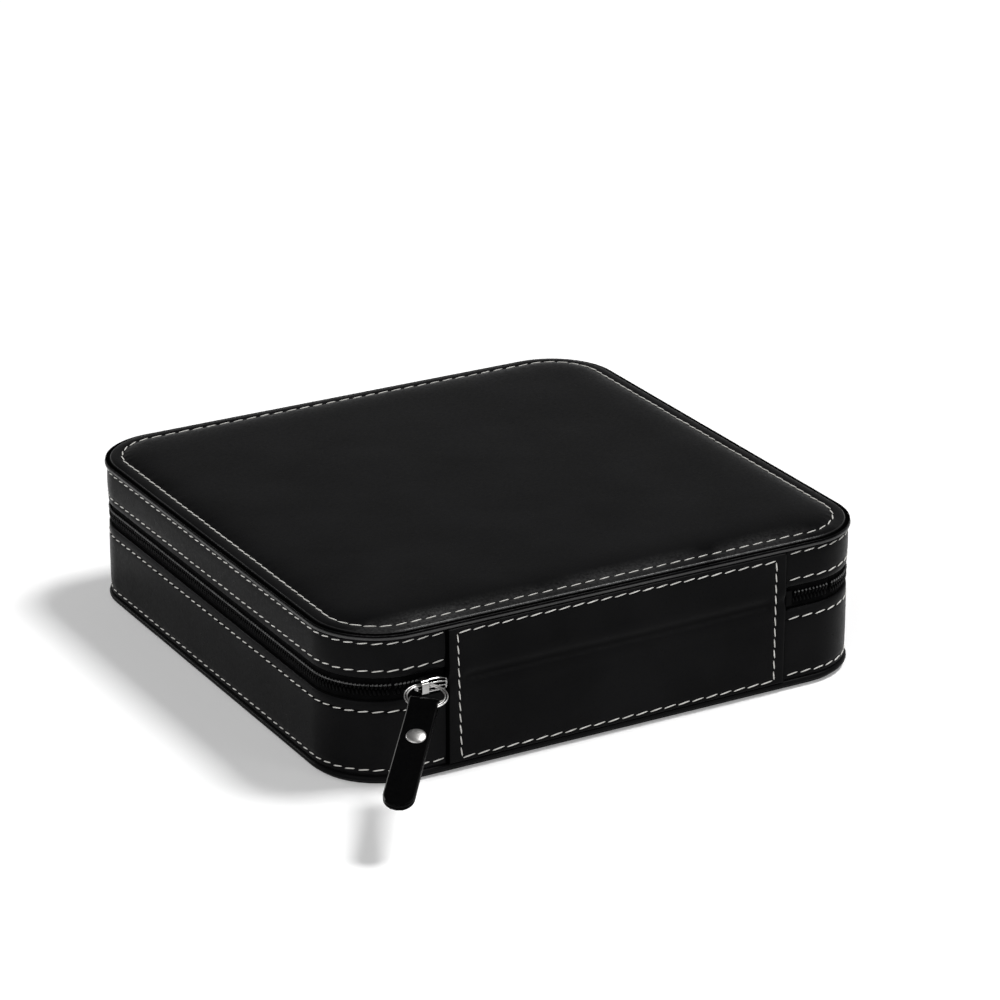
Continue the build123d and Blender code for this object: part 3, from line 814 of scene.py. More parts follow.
@dataclass
class CaseShell:
    """Leather outside of the base and the lid, with the piping and the padded top."""

    shop: Workshop
    outline: Outline
    stitches: Stitching
    panel_half: float = 57.5
    loop_points: int = 560
    band_inset: float = 0.7
    board_inset: float = 2.2
    tape_inset: float = 1.7
    base_low: float = 2.9
    base_high: float = 26.0
    lid_low: float = 33.2
    lid_high: float = 44.8
    top_stitch_inset: float = 5.5
    lid_rows: tuple[float, float] = (43.95, 35.5)
    base_rows: tuple[float, float] = (22.9, 4.7)
    groove: float = 0.2
    row_fill: tuple[float, float] = (0.78, 0.74)
    top_fill: tuple[float, float] = (0.8, 0.97)
    top_stitch_height: float = 47.2
    stitch_pull: float = 0.14
    stitch_sink: float = 0.03
    panel_gap: float = 0.4

    def band_face(self, rows: tuple[float, float], low: float, high: float) -> list[tuple[float, float]]:
        """Return the outer face of a band from its top to its bottom, with a groove at each row.

        Args:
            rows: the heights of the two stitch rows, the upper one first.
            low: the band's bottom.
            high: the band's top.

        Returns:
            Inset and height of each loop.
        """
        face = self.band_inset
        deep = face + self.groove
        upper, lower = rows
        middle = (upper + lower) / 2
        return [
            (face + 0.75, high),
            (face + 0.32, high - 0.03),
            (face + 0.08, high - 0.2),
            (face, min(high - 0.45, upper + 0.55)),
            (deep, upper),
            (face, upper - 0.7),
            (face - 0.08, upper - 2.0),
            (face - 0.12, middle),
            (face - 0.08, lower + 2.0),
            (face, lower + 0.7),
            (deep, lower),
            (face, max(low + 0.45, lower - 0.7)),
            (face + 0.08, low + 0.2),
            (face + 0.32, low + 0.03),
            (face + 0.75, low),
        ]

    def uneven(self, seed: float, depth: float) -> Wobble:
        """Return the slight unevenness of hand-laid leather.

        Args:
            seed: where in the pattern it starts.
            depth: how deep it goes, in millimetres.

        Returns:
            The extra inset by distance and level.
        """
        def wave(distance: float, level: int) -> float:
            """Return the extra inset at a place."""
            angle = 2 * math.pi * distance / self.outline.length
            spot = Vector((9 * math.cos(angle), 9 * math.sin(angle), seed + level * 0.3))
            return depth * noise.noise(spot)
        return wave

    def add_base_band(self) -> None:
        """Add the base's side leather."""
        bm = bmesh.new()
        profile = self.band_face(self.base_rows, self.base_low, self.base_high)
        profile += [(self.board_inset, self.base_low), (self.board_inset, 17.0), (self.tape_inset, 17.0),
                    (self.tape_inset, self.base_high - 0.1)]
        loft(bm, self.outline, profile, self.loop_points, wobble=self.uneven(3.1, 0.06))
        self.shop.piece("base_side_band", bm, self.shop.finishes.leather, Slot.LEATHER, Body.BASE,
                        ("base_side_leather",))

    def add_lid_band(self) -> None:
        """Add the lid's side leather."""
        bm = bmesh.new()
        profile = self.band_face(self.lid_rows, self.lid_low, self.lid_high)
        profile += [(self.tape_inset, self.lid_low + 0.1), (self.tape_inset, 42.2), (self.board_inset, 42.2),
                    (self.board_inset, self.lid_high)]
        loft(bm, self.outline, profile, self.loop_points, wobble=self.uneven(3.1, 0.06))
        self.shop.piece("lid_side_band", bm, self.shop.finishes.leather, Slot.LEATHER, Body.LID,
                        ("lid_side_leather",))

    def add_piping(self, name: str, centre: float, diameter: float, body: Body, node: str) -> None:
        """Add a round piping bead.

        Args:
            name: the piece's name.
            centre: the bead's height.
            diameter: its thickness.
            body: the body that it rides on.
            node: the CAD node that it stands for.
        """
        bm = bmesh.new()
        radius = diameter / 2
        steps = 14
        profile = [(radius - radius * math.cos(2 * math.pi * step / steps),
                    centre + radius * math.sin(2 * math.pi * step / steps)) for step in range(steps)]
        loft(bm, self.outline, profile, self.loop_points // 2, wobble=self.uneven(5.7, 0.05))
        bead = self.shop.piece(name, bm, self.shop.finishes.leather, Slot.LEATHER, body, (node,))
        if body is Body.LID:
            # On the lid's piping the middle faces get the pale finish, a painted highlight, and the top and
            # bottom faces get the near-black one, painted shade.
            paint_light_and_shade(bead, self.shop.finishes.bead, lambda spot, normal: -0.5 < normal.z < 0.4)
            paint_light_and_shade(bead, self.shop.finishes.groove, lambda spot, normal: normal.z > 0.85 or normal.z < -0.7)

    def add_top(self) -> None:
        """Add the padded top leather, with its sloping border, stitched valley and crown."""
        bm = bmesh.new()
        valley = self.top_stitch_inset
        profile = [
            (2.2, 46.35), (0.9, 46.35), (0.35, 46.36), (0.2, 46.42), (0.2, 46.5), (0.35, 46.56), (1.2, 46.6),
            (1.6, 46.66), (1.8, 46.82), (1.98, 47.02), (2.3, 47.16), (3.4, 47.28), (4.3, 47.32), (4.9, 47.24),
            (valley, 47.06), (6.1, 47.3),
            (6.9, 47.68), (8.0, 48.02), (9.6, 48.32), (12.0, 48.55), (15.0, 48.7), (18.0, 48.77),
            (21.0, 48.8),
        ]
        smooth = self.uneven(8.3, 0.1)

        def wave(distance: float, level: int) -> float:
            """Return the extra inset that the stitches pull into the valley's sides."""
            if level in (14, 15, 16):
                pull = math.cos(2 * math.pi * distance / self.stitches.front_pitch)
                return smooth(distance, level) + self.stitch_pull * pull
            return smooth(distance, level) * (0.4 if level < 14 else 3.0)

        loft(bm, self.outline, profile, self.loop_points, closed=False, wobble=wave)
        top = self.shop.piece("padded_top", bm, self.shop.finishes.top, Slot.LEATHER, Body.LID,
                              ("lid_top_leather",))
        # Painted shade: the shelf under the rolled lip gets the near-black finish.
        paint_light_and_shade(top, self.shop.finishes.groove, lambda spot, normal: spot.z < 46.72
            and self.outline.depth_at(spot) > 0.6)
        # Painted highlight: the upper part of the rolled lip gets the paler edge finish.
        paint_light_and_shade(top, self.shop.finishes.edge, lambda spot, normal: 46.78 < spot.z < 47.06 and normal.z < 0.95
            and self.outline.depth_at(spot) < 2.3)

    def add_stitches(self) -> None:
        """Add the top row and the four side rows."""
        gap = self.panel_half + self.panel_gap
        length = self.outline.length
        thread = self.shop.finishes.thread
        sides = (("lid_stitches", self.lid_rows, Body.LID), ("base_stitches", self.base_rows, Body.BASE))
        for name, rows, body in sides:
            bars = Bars()
            for height in rows:
                self.stitches.row(bars, self.outline, self.band_inset + self.stitch_sink, height, gap,
                                  length - gap, self.row_fill)
            self.shop.piece(name, bars.mesh(), thread, Slot.LEATHER, body, weld=False)
        bars = Bars()
        valley = self.outline.drawn_in(self.top_stitch_inset)
        self.stitches.row(bars, valley, 0.0, self.top_stitch_height, 0.0, valley.length, self.top_fill,
                          Vector((0, 0, 1)))
        self.shop.piece("top_stitches", bars.mesh(), thread, Slot.LEATHER, Body.LID, weld=False)

    def add_bottom(self) -> None:
        """Add the bottom leather with its rounded edge."""
        bm = bmesh.new()
        profile = [(8.0, 0.0), (2.2, 0.0), (1.75, 0.06), (1.55, 0.25), (1.5, 0.5), (1.55, 0.98), (8.0, 0.98)]
        loft(bm, self.outline, profile, 200, closed=False)
        self.shop.piece("bottom_skin", bm, self.shop.finishes.leather, Slot.LEATHER, Body.BASE,
                        ("bottom_leather",))

    def build(self) -> None:
        """Add every piece of the shell."""
        self.add_base_band()
        self.add_lid_band()
        self.add_piping("top_piping_bead", 45.55, 1.5, Body.LID, "lid_piping")
        self.add_piping("bottom_piping_bead", 1.95, 1.9, Body.BASE, "bottom_piping")
        self.add_top()
        self.add_bottom()
        self.add_stitches()


@dataclass
class HingePanel:
    """The leather panel that joins base and lid on the hinge side, and the lining behind it."""

    shop: Workshop
    stitches: Stitching
    half_width: float = 57.5
    low: float = 2.9
    high: float = 44.8
    face_y: float = -89.4
    back_y: float = -88.36
    fold_low: float = 26.0
    fold_high: float = 33.2
    fold_z: float = 29.6
    stitch_left: float = -53.4
    stitch_right: float = 53.4
    stitch_low: float = 4.3
    stitch_high: float = 43.5
    stitch_arch: float = 0.35
    stitch_sink: float = 0.12
    stitch_fill: float = 0.84
    stitch_lean: float = 0.6
    edge_round: float = 0.5

    def relief(self, x: float, z: float) -> float:
        """Return how far the panel's face lies behind its flat plane at a place."""
        edge = min(self.half_width - abs(x), self.edge_round) / self.edge_round
        edge_z = min(z - self.low, self.high - z, self.edge_round) / self.edge_round
        rounding = 0.85 * (1 - math.sqrt(max(0.0, 1 - (1 - edge) ** 2)))
        rounding_z = 0.5 * (1 - math.sqrt(max(0.0, 1 - (1 - edge_z) ** 2)))
        across = max(self.stitch_left - x, x - self.stitch_right)
        upright = max(self.stitch_low - z, z - self.stitch_high)
        seam = max(across, upright)
        groove = 0.2 * math.exp(-((seam / 0.55) ** 2))
        sway = 0.5 * noise.noise(Vector((x * 0.02, 4.0, 0.5)))
        crease = 0.7 * math.exp(-(((z - self.fold_z - sway) / 1.5) ** 2))
        fold = -0.24 * math.exp(-(((z - self.fold_z - 4.0) / 2.2) ** 2))
        fold -= 0.24 * math.exp(-(((z - self.fold_z + 4.2) / 2.4) ** 2))
        soft = 0.05 * noise.noise(Vector((x * 0.05, z * 0.16, 1.7)))
        free = 1 - math.exp(-((across / 2.2) ** 2))
        return max(rounding, rounding_z) + groove + (crease + fold) * free + soft

    def sheet(self, bm: bmesh.types.BMesh, columns: int, rows: int) -> None:
        """Add the panel's outer face and its thickness."""
        grid = bmesh.ops.create_grid(bm, x_segments=columns, y_segments=rows, size=0.5)["verts"]
        for vert in grid:
            x = vert.co.x * 2 * self.half_width
            z = self.low + (vert.co.y + 0.5) * (self.high - self.low)
            vert.co = mm(x, self.face_y + self.relief(x, z), z)
        raised = bmesh.ops.extrude_face_region(bm, geom=bm.faces[:])["geom"]
        for vert in raised:
            if isinstance(vert, bmesh.types.BMVert):
                vert.co.y = self.back_y * MM

    def add_panel(self) -> None:
        """Add the panel as one sheet, creased at the hinge."""
        bm = bmesh.new()
        self.sheet(bm, 160, 96)
        panel = self.shop.piece("hinge_panel", bm, self.shop.finishes.leather, Slot.LEATHER, None,
                                ("hinge_panel_lower", "hinge_panel_upper"))
        # Painted shade: the panel's side edges get the near-black finish.
        paint_light_and_shade(panel, self.shop.finishes.groove, lambda spot, normal: abs(normal.x) > 0.45)
        self.fold(panel)

    def fold(self, piece: bpy.types.Object) -> None:
        """Bake a piece's placement into its mesh; the piece rides on no body."""
        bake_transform(piece)

    def add_stitches(self) -> None:
        """Add the stitched rectangle."""
        bars = Bars()
        corners = [
            (self.stitch_left + self.stitch_lean, self.stitch_low), (self.stitch_right, self.stitch_low),
            (self.stitch_right, self.stitch_high - self.stitch_lean),
            (self.stitch_left - self.stitch_lean, self.stitch_high),
        ]
        for index, (first, second) in enumerate(zip(corners, corners[1:] + corners[:1])):
            arch = self.stitch_arch if index == 2 else 0.0
            self.stitches.line(bars, first, second, self.face_y + self.stitch_sink, self.stitch_fill, arch)
        rows = self.shop.piece("hinge_panel_stitches", bars.mesh(), self.shop.finishes.thread, Slot.LEATHER,
                               None, weld=False)
        self.fold(rows)

    def add_lining(self) -> None:
        """Add the cloth strip behind the panel, inside the case."""
        bm = bmesh.new()
        low_corner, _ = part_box("hinge_lining_lower")
        _, high_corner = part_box("hinge_lining_upper")
        grid = bmesh.ops.create_grid(bm, x_segments=60, y_segments=50, size=0.5)["verts"]
        for vert in grid:
            across, upright = vert.co.x + 0.5, vert.co.y + 0.5
            z = low_corner.z + upright * (high_corner.z - low_corner.z)
            x = low_corner.x + across * (high_corner.x - low_corner.x)
            sag = 0.35 * math.exp(-(((z / MM - self.fold_z) / 3.0) ** 2))
            vert.co = Vector((x, high_corner.y - sag * MM, z))
        raised = bmesh.ops.extrude_face_region(bm, geom=bm.faces[:])["geom"]
        moved = [part for part in raised if isinstance(part, bmesh.types.BMVert)]
        bmesh.ops.translate(bm, vec=mm(0, -0.38, 0), verts=moved)
        strip = self.shop.piece("hinge_lining", bm, self.shop.finishes.lining, Slot.LINING, None,
                                ("hinge_lining_lower", "hinge_lining_upper"))
        self.fold(strip)

    def build(self) -> None:
        """Add the panel, its stitches and its lining."""
        self.add_panel()
        self.add_stitches()
        self.add_lining()


@dataclass
class ZipChain:
    """The closed coil chain in its recess, in a lower and an upper half."""

    shop: Workshop
    outline: Outline
    pitch: float = 1.3
    tooth_long: float = 1.95
    tooth_wide: float = 0.74
    tooth_thick: float = 0.9
    tooth_slant: float = 16.0
    centre_z: float = 29.6
    half_reach: float = 0.85
    inset: float = 1.15
    end_x: float = 74.0
    sewing_z: float = 31.0
    knot: tuple[float, float, float] = (0.56, 0.44, 0.42)
    left_stop_x: float = 66.1
    right_start_x: float = 60.0

    def distance_at(self, x: float) -> float:
        """Return the distance from the hinge side's middle to the place at an X on the front corner."""
        over = x - self.outline.half_x
        if over <= 0:
            return x
        return self.outline.half_x + self.outline.radius * math.asin(over / self.outline.radius)

    def add_teeth(self, bars: Bars, start: float, stop: float, up: bool) -> None:
        """Add the teeth of one half between two distances.

        Args:
            bars: what they are added to.
            start: the first distance.
            stop: the last distance.
            up: whether it is the upper half.
        """
        sign = 1.0 if up else -1.0
        count = int((stop - start) / self.pitch)
        for index in range(count):
            distance = start + (index + (0.75 if up else 0.25)) * self.pitch
            _, outward = self.outline.walk(distance)
            along = Vector((-outward.y, outward.x, 0.0))
            lean = math.radians(self.tooth_slant) * sign
            upright = Vector((0, 0, 1)) * math.cos(lean) + along * math.sin(lean)
            centre = self.outline.place(distance, self.inset, self.centre_z + sign * self.half_reach)
            bars.add(centre, upright, outward, (self.tooth_long, self.tooth_wide, self.tooth_thick))

    def add_sewing(self, bars: Bars, start: float, stop: float) -> None:
        """Add the row of small knots that stand for the coil's sewing, set at the height of the coil's dotted
        highlight.
        """
        count = int((stop - start) / self.pitch)
        for index in range(count):
            distance = start + (index + 0.5) * self.pitch
            _, outward = self.outline.walk(distance)
            along = Vector((-outward.y, outward.x, 0.0))
            centre = self.outline.place(distance, self.inset - 0.3, self.sewing_z)
            bars.add(centre, along, outward, self.knot)

    def finish(self, name: str, bars: Bars, body: Body, node: str) -> None:
        """Make one length of chain. Its sewing knots and the tops of its upper teeth get a paler finish, a
        painted highlight.
        """
        chain = self.shop.piece(name, bars.mesh(), self.shop.finishes.coil, Slot.COIL, body, (node,),
                                weld=False)
        # Painted highlight: the knots and the tops of the upper teeth get the pale finish.
        paint_light_and_shade(chain, self.shop.finishes.zip_sewing_highlight, lambda spot, normal: spot.z > self.sewing_z - 0.24
            and self.outline.depth_at(spot) < self.inset - 0.12)

    def build(self) -> None:
        """Add the two long halves and the two short closed ends."""
        length = self.outline.length
        corner = self.distance_at(self.end_x + 0.3)
        nodes = {False: "zip_teeth_lower", True: "zip_teeth_upper"}
        for up, name in nodes.items():
            bars = Bars(6, 5)
            self.add_teeth(bars, corner, length - corner, up)
            if up:
                self.add_sewing(bars, corner, length - corner)
            self.finish("upper_coil" if up else "lower_coil", bars, Body.LID if up else Body.BASE, name)
        end = self.distance_at(self.end_x)
        bars = Bars(6, 5)
        for up in (False, True):
            self.add_teeth(bars, length - end, length - self.left_stop_x, up)
        self.add_sewing(bars, length - end, length - self.left_stop_x)
        self.finish("left_coil_end", bars, Body.BASE, "zip_chain_end_left")
        bars = Bars(6, 5)
        for up in (False, True):
            self.add_teeth(bars, self.right_start_x, end, up)
        self.finish("right_coil_end", bars, Body.BASE, "zip_chain_end_right")


@dataclass
class ZipSlider:
    """The slider's cover: a low metal shell with rolled ribs, slots painted with shade, and a lifted crown.
    """

    shop: Workshop
    left: float = -68.1
    right: float = -57.7
    middle_z: float = 29.35
    half_z: float = 2.35
    face_y: float = -89.75
    back_y: float = -86.2
    crown: float = 0.95
    rib: float = 0.3
    slots: tuple[float, float, float] = (-0.38, 0.12, 0.62)
    slot_share: float = 0.14
    slot_bend: float = 0.12
    slot_reach: float = 0.82
    slot_depth: float = 0.32
    rolls: tuple[float, ...] = (-0.7, -0.13, 0.37, 0.86)

    def lift(self, across: float, along: float) -> float:
        """Return how far the shell stands out at a place, both shares from -1 to 1."""
        dome = self.crown * max(0.0, 1 - abs(across) ** 3) ** 0.4 * max(0.0, 1 - abs(along) ** 6) ** 0.4
        ribs = sum(math.exp(-(((across - spot) / 0.11) ** 2)) for spot in self.rolls)
        grooves = sum(math.exp(-(((across - spot) / 0.09) ** 2)) for spot in self.slots)
        return dome + (self.rib * ribs - self.slot_depth * grooves) * max(0.0, 1 - along**4)

    def build(self) -> None:
        """Add the shell."""
        bm = bmesh.new()
        grid = bmesh.ops.create_grid(bm, x_segments=56, y_segments=56, size=1.0)["verts"]
        middle, half = (self.left + self.right) / 2, (self.right - self.left) / 2
        for vert in grid:
            along, across = vert.co.x, vert.co.y
            narrow = (1 - 0.5 * max(0.0, -along) ** 3) * (1 - 0.16 * max(0.0, along) ** 4)
            plan = math.sqrt(max(0.0, 1 - 0.35 * along**4 * across**2))
            z = self.middle_z + across * self.half_z * narrow * plan + 0.35 * (1 - along**2)
            x = middle + along * half * math.sqrt(max(0.0, 1 - 0.3 * across**4))
            vert.co = mm(x, self.face_y - self.lift(across, along) + 1.5 * max(0.0, -along) ** 5, z)
        raised = bmesh.ops.extrude_face_region(bm, geom=bm.faces[:])["geom"]
        for vert in raised:
            if isinstance(vert, bmesh.types.BMVert):
                vert.co.y = self.back_y * MM
        shell = self.shop.piece("slider_shell", bm, self.shop.finishes.nickel, Slot.NICKEL, Body.SLIDER,
                                ("slider_body",))

        def in_slot(spot: Vector, normal: Vector) -> bool:
            """Return whether a face lies in one of the shaded slots beside the crown."""
            along = (spot.x - middle) / half
            across = (spot.z - self.middle_z - 0.35 * (1 - along**2)) / self.half_z
            off = [abs(across - line + self.slot_bend * along**2) for line in self.slots]
            return abs(along) < self.slot_reach and min(off) < self.slot_share

        # Painted shade: the slots get the near-black finish.
        paint_light_and_shade(shell, self.shop.finishes.groove, in_slot)
        # Painted shade: the shell's sides get the black coil finish, though the slider is all metal.
        paint_light_and_shade(shell, self.shop.finishes.coil, lambda spot, normal: abs(normal.y) < 0.3)


@dataclass
class PullTab:
    """The split ring, the riveted leather tab and the rivet's caps."""

    shop: Workshop
    ring_radius: float = 5.75
    ring_wire: float = 0.22
    ring_gap: float = 0.72
    ring_turn: float = 19.5
    ring_drop: float = 9.5
    pivot: tuple[float, float, float] = (-66.1, -90.775, 30.7)
    tab_turn: float = 17.6
    tab_run: tuple[float, float, float] = (-0.606583, -0.726305, -0.323324)
    tab_side: tuple[float, float, float] = (0.779241, -0.623779, -0.060683)
    length: float = 39.9
    fold_width: float = 8.4
    end_width: float = 8.9
    leather: float = 0.98
    rivet_distance: float = 12.6
    rivet_radius: float = 2.85

    def __post_init__(self) -> None:
        """Work out the ring's and the tab's directions."""
        turn, drop = math.radians(self.ring_turn), math.radians(self.ring_drop)
        self.ring_axis = Vector((math.cos(turn), -math.sin(turn), 0.0))
        out = Vector((-math.sin(turn), -math.cos(turn), 0.0))
        self.lean = out * math.cos(drop) + Vector((0, 0, -math.sin(drop)))
        self.ring_centre = Vector(self.pivot) + self.lean * self.ring_radius
        self.ring_normal = self.ring_axis.cross(self.lean)
        side = math.radians(self.tab_turn)
        self.side = Vector(self.tab_side).normalized()
        self.radial = self.lean * math.cos(side) - self.ring_axis * math.sin(side)
        self.fold = self.ring_centre + self.radial * self.ring_radius
        self.run = Vector(self.tab_run).normalized()
        self.face = self.run.cross(self.side)

    def add_ring(self) -> None:
        """Add the ring, two turns of thin wire, one inside the other."""
        bm = bmesh.new()
        frame = Matrix((self.lean, self.ring_normal, self.ring_axis)).transposed().to_4x4()
        for side in (-1, 1):
            start = self.ring_centre - self.lean * (self.ring_radius + side * self.ring_gap / 2)
            radius = self.ring_wire * MM
            wire = bmesh.ops.create_circle(bm, cap_ends=False, segments=10, radius=radius)["verts"]
            bmesh.ops.transform(bm, matrix=Matrix.Translation(start * MM) @ frame, verts=wire)
            edges = list({edge for vert in wire for edge in vert.link_edges})
            bmesh.ops.spin(bm, geom=wire + edges, cent=self.ring_centre * MM, axis=self.ring_normal,
                           angle=2 * math.pi, steps=72, use_merge=True)
        self.shop.piece("split_ring", bm, self.shop.finishes.satin, Slot.NICKEL, Body.RING, ("pull_ring",))

    def centre_line(self) -> list[Vector]:
        """Return the middle line of the folded strip, from one tip over the ring to the other."""
        loop_top = self.radial * -2.9
        loop_mid = self.radial * -0.6
        across = self.radial.cross(self.side)
        half = self.leather / 2 + 0.03
        return [
            self.run * self.length + self.face * half,
            self.run * (self.length * 0.7) + self.face * half,
            self.run * (self.length * 0.4) + self.face * half,
            self.run * 6.0 + self.face * half,
            self.run * 3.0 + self.face * (half + 0.12),
            loop_mid + across * 1.5,
            loop_top + across * 0.85,
            loop_top - self.radial * 0.45,
            loop_top - across * 0.85,
            loop_mid - across * 1.5,
            self.run * 3.0 - self.face * (half + 0.12),
            self.run * 6.0 - self.face * half,
            self.run * (self.length * 0.4) - self.face * half,
            self.run * (self.length * 0.7) - self.face * half,
            self.run * self.length - self.face * half,
        ]

    @staticmethod
    def smooth(points: list[Vector], share: float) -> Vector:
        """Return the place at a share of a smooth line through points."""
        last = len(points) - 1
        at = min(max(share, 0.0), 1.0) * last
        index = min(int(at), last - 1)
        t = at - index
        before = points[max(index - 1, 0)]
        first, second = points[index], points[index + 1]
        after = points[min(index + 2, last)]
        lead, trail = (second - before) * 0.5, (after - first) * 0.5
        return (first * (2 * t**3 - 3 * t**2 + 1) + lead * (t**3 - 2 * t**2 + t)
                + second * (-2 * t**3 + 3 * t**2) + trail * (t**3 - t**2))

    def half_width(self, down: float) -> float:
        """Return half the tab's width at a distance down from the fold."""
        radius = self.end_width / 2
        end_start = self.length - radius
        if down >= end_start:
            return math.sqrt(max(radius**2 - (down - end_start) ** 2, 0.05))
        share = max(down, 0.0) / end_start
        return self.fold_width / 2 + (radius - self.fold_width / 2) * share

    def add_tab(self) -> None:
        """Add the leather strip, folded over the ring."""
        bm = bmesh.new()
        grid = bmesh.ops.create_grid(bm, x_segments=150, y_segments=18, size=0.5)["verts"]
        points = self.centre_line()
        for vert in grid:
            share = vert.co.x + 0.5
            share = share - 0.045 * math.sin(2 * math.pi * share)
            place = self.smooth(points, share)
            across = vert.co.y * 2
            width = self.half_width(place.dot(self.run))
            spot = self.fold + place + self.side * (across * width)
            vert.co = spot * MM
        bmesh.ops.recalc_face_normals(bm, faces=bm.faces[:])
        half = self.leather / 2 * MM
        bm.normal_update()
        for vert in grid:
            vert.co += vert.normal * half
        bmesh.ops.solidify(bm, geom=bm.faces[:], thickness=self.leather * MM)
        rim = [edge for edge in bm.edges if len(edge.link_faces) == 2 and edge.calc_face_angle() > 1.0]
        bmesh.ops.bevel(bm, geom=rim, offset=0.3 * MM, segments=2, affect="EDGES", profile=0.5, material=-1)
        tab = self.shop.piece("leather_tab", bm, self.shop.finishes.strap, Slot.LEATHER, Body.PULLER,
                              ("puller_strap",))
        # Painted highlight: the cut edge on the side that faces the light gets the pale edge finish.
        paint_light_and_shade(tab, self.shop.finishes.cut_edge_highlight, lambda spot, normal: normal.dot(self.side) < -0.25
            and (spot - self.fold).dot(self.run) < self.length - 1.5)
        # Painted highlight: the top of the fold gets the pale piping finish.
        paint_light_and_shade(tab, self.shop.finishes.bead, lambda spot, normal: normal.dot(self.radial) < -0.8)

    def add_rivet(self) -> None:
        """Add the rivet: a shallow dome with a rolled rim on each face, and its shank."""
        bm = bmesh.new()
        radius, base = self.rivet_radius, self.leather + 0.05
        half_profile = [(0.0, base + 0.78), (radius * 0.3, base + 0.74), (radius * 0.58, base + 0.64),
                        (radius * 0.8, base + 0.48), (radius * 0.93, base + 0.31), (radius, base + 0.17),
                        (radius * 0.985, base + 0.05), (radius * 0.92, base), (1.2, base)]
        profile = half_profile + [(r, -h) for r, h in reversed(half_profile)]
        chain = [bm.verts.new(Vector((r, 0, h)) * MM) for r, h in profile]
        edges = [bm.edges.new(pair) for pair in zip(chain, chain[1:])]
        bmesh.ops.spin(bm, geom=chain + edges, cent=(0, 0, 0), axis=(0, 0, 1), angle=2 * math.pi, steps=40,
                       use_merge=True)
        spot = (self.fold + self.run * self.rivet_distance + self.side * 0.45) * MM
        frame = Matrix((self.side, self.face.cross(self.side), self.face)).transposed().to_4x4()
        bmesh.ops.transform(bm, matrix=Matrix.Translation(spot) @ frame, verts=bm.verts[:])
        self.shop.piece("tab_rivet", bm, self.shop.finishes.satin, Slot.NICKEL, Body.PULLER,
                        ("puller_rivet",))

    def build(self) -> None:
        """Add the ring, the tab and the rivet."""
        self.add_ring()
        self.add_tab()
        self.add_rivet()


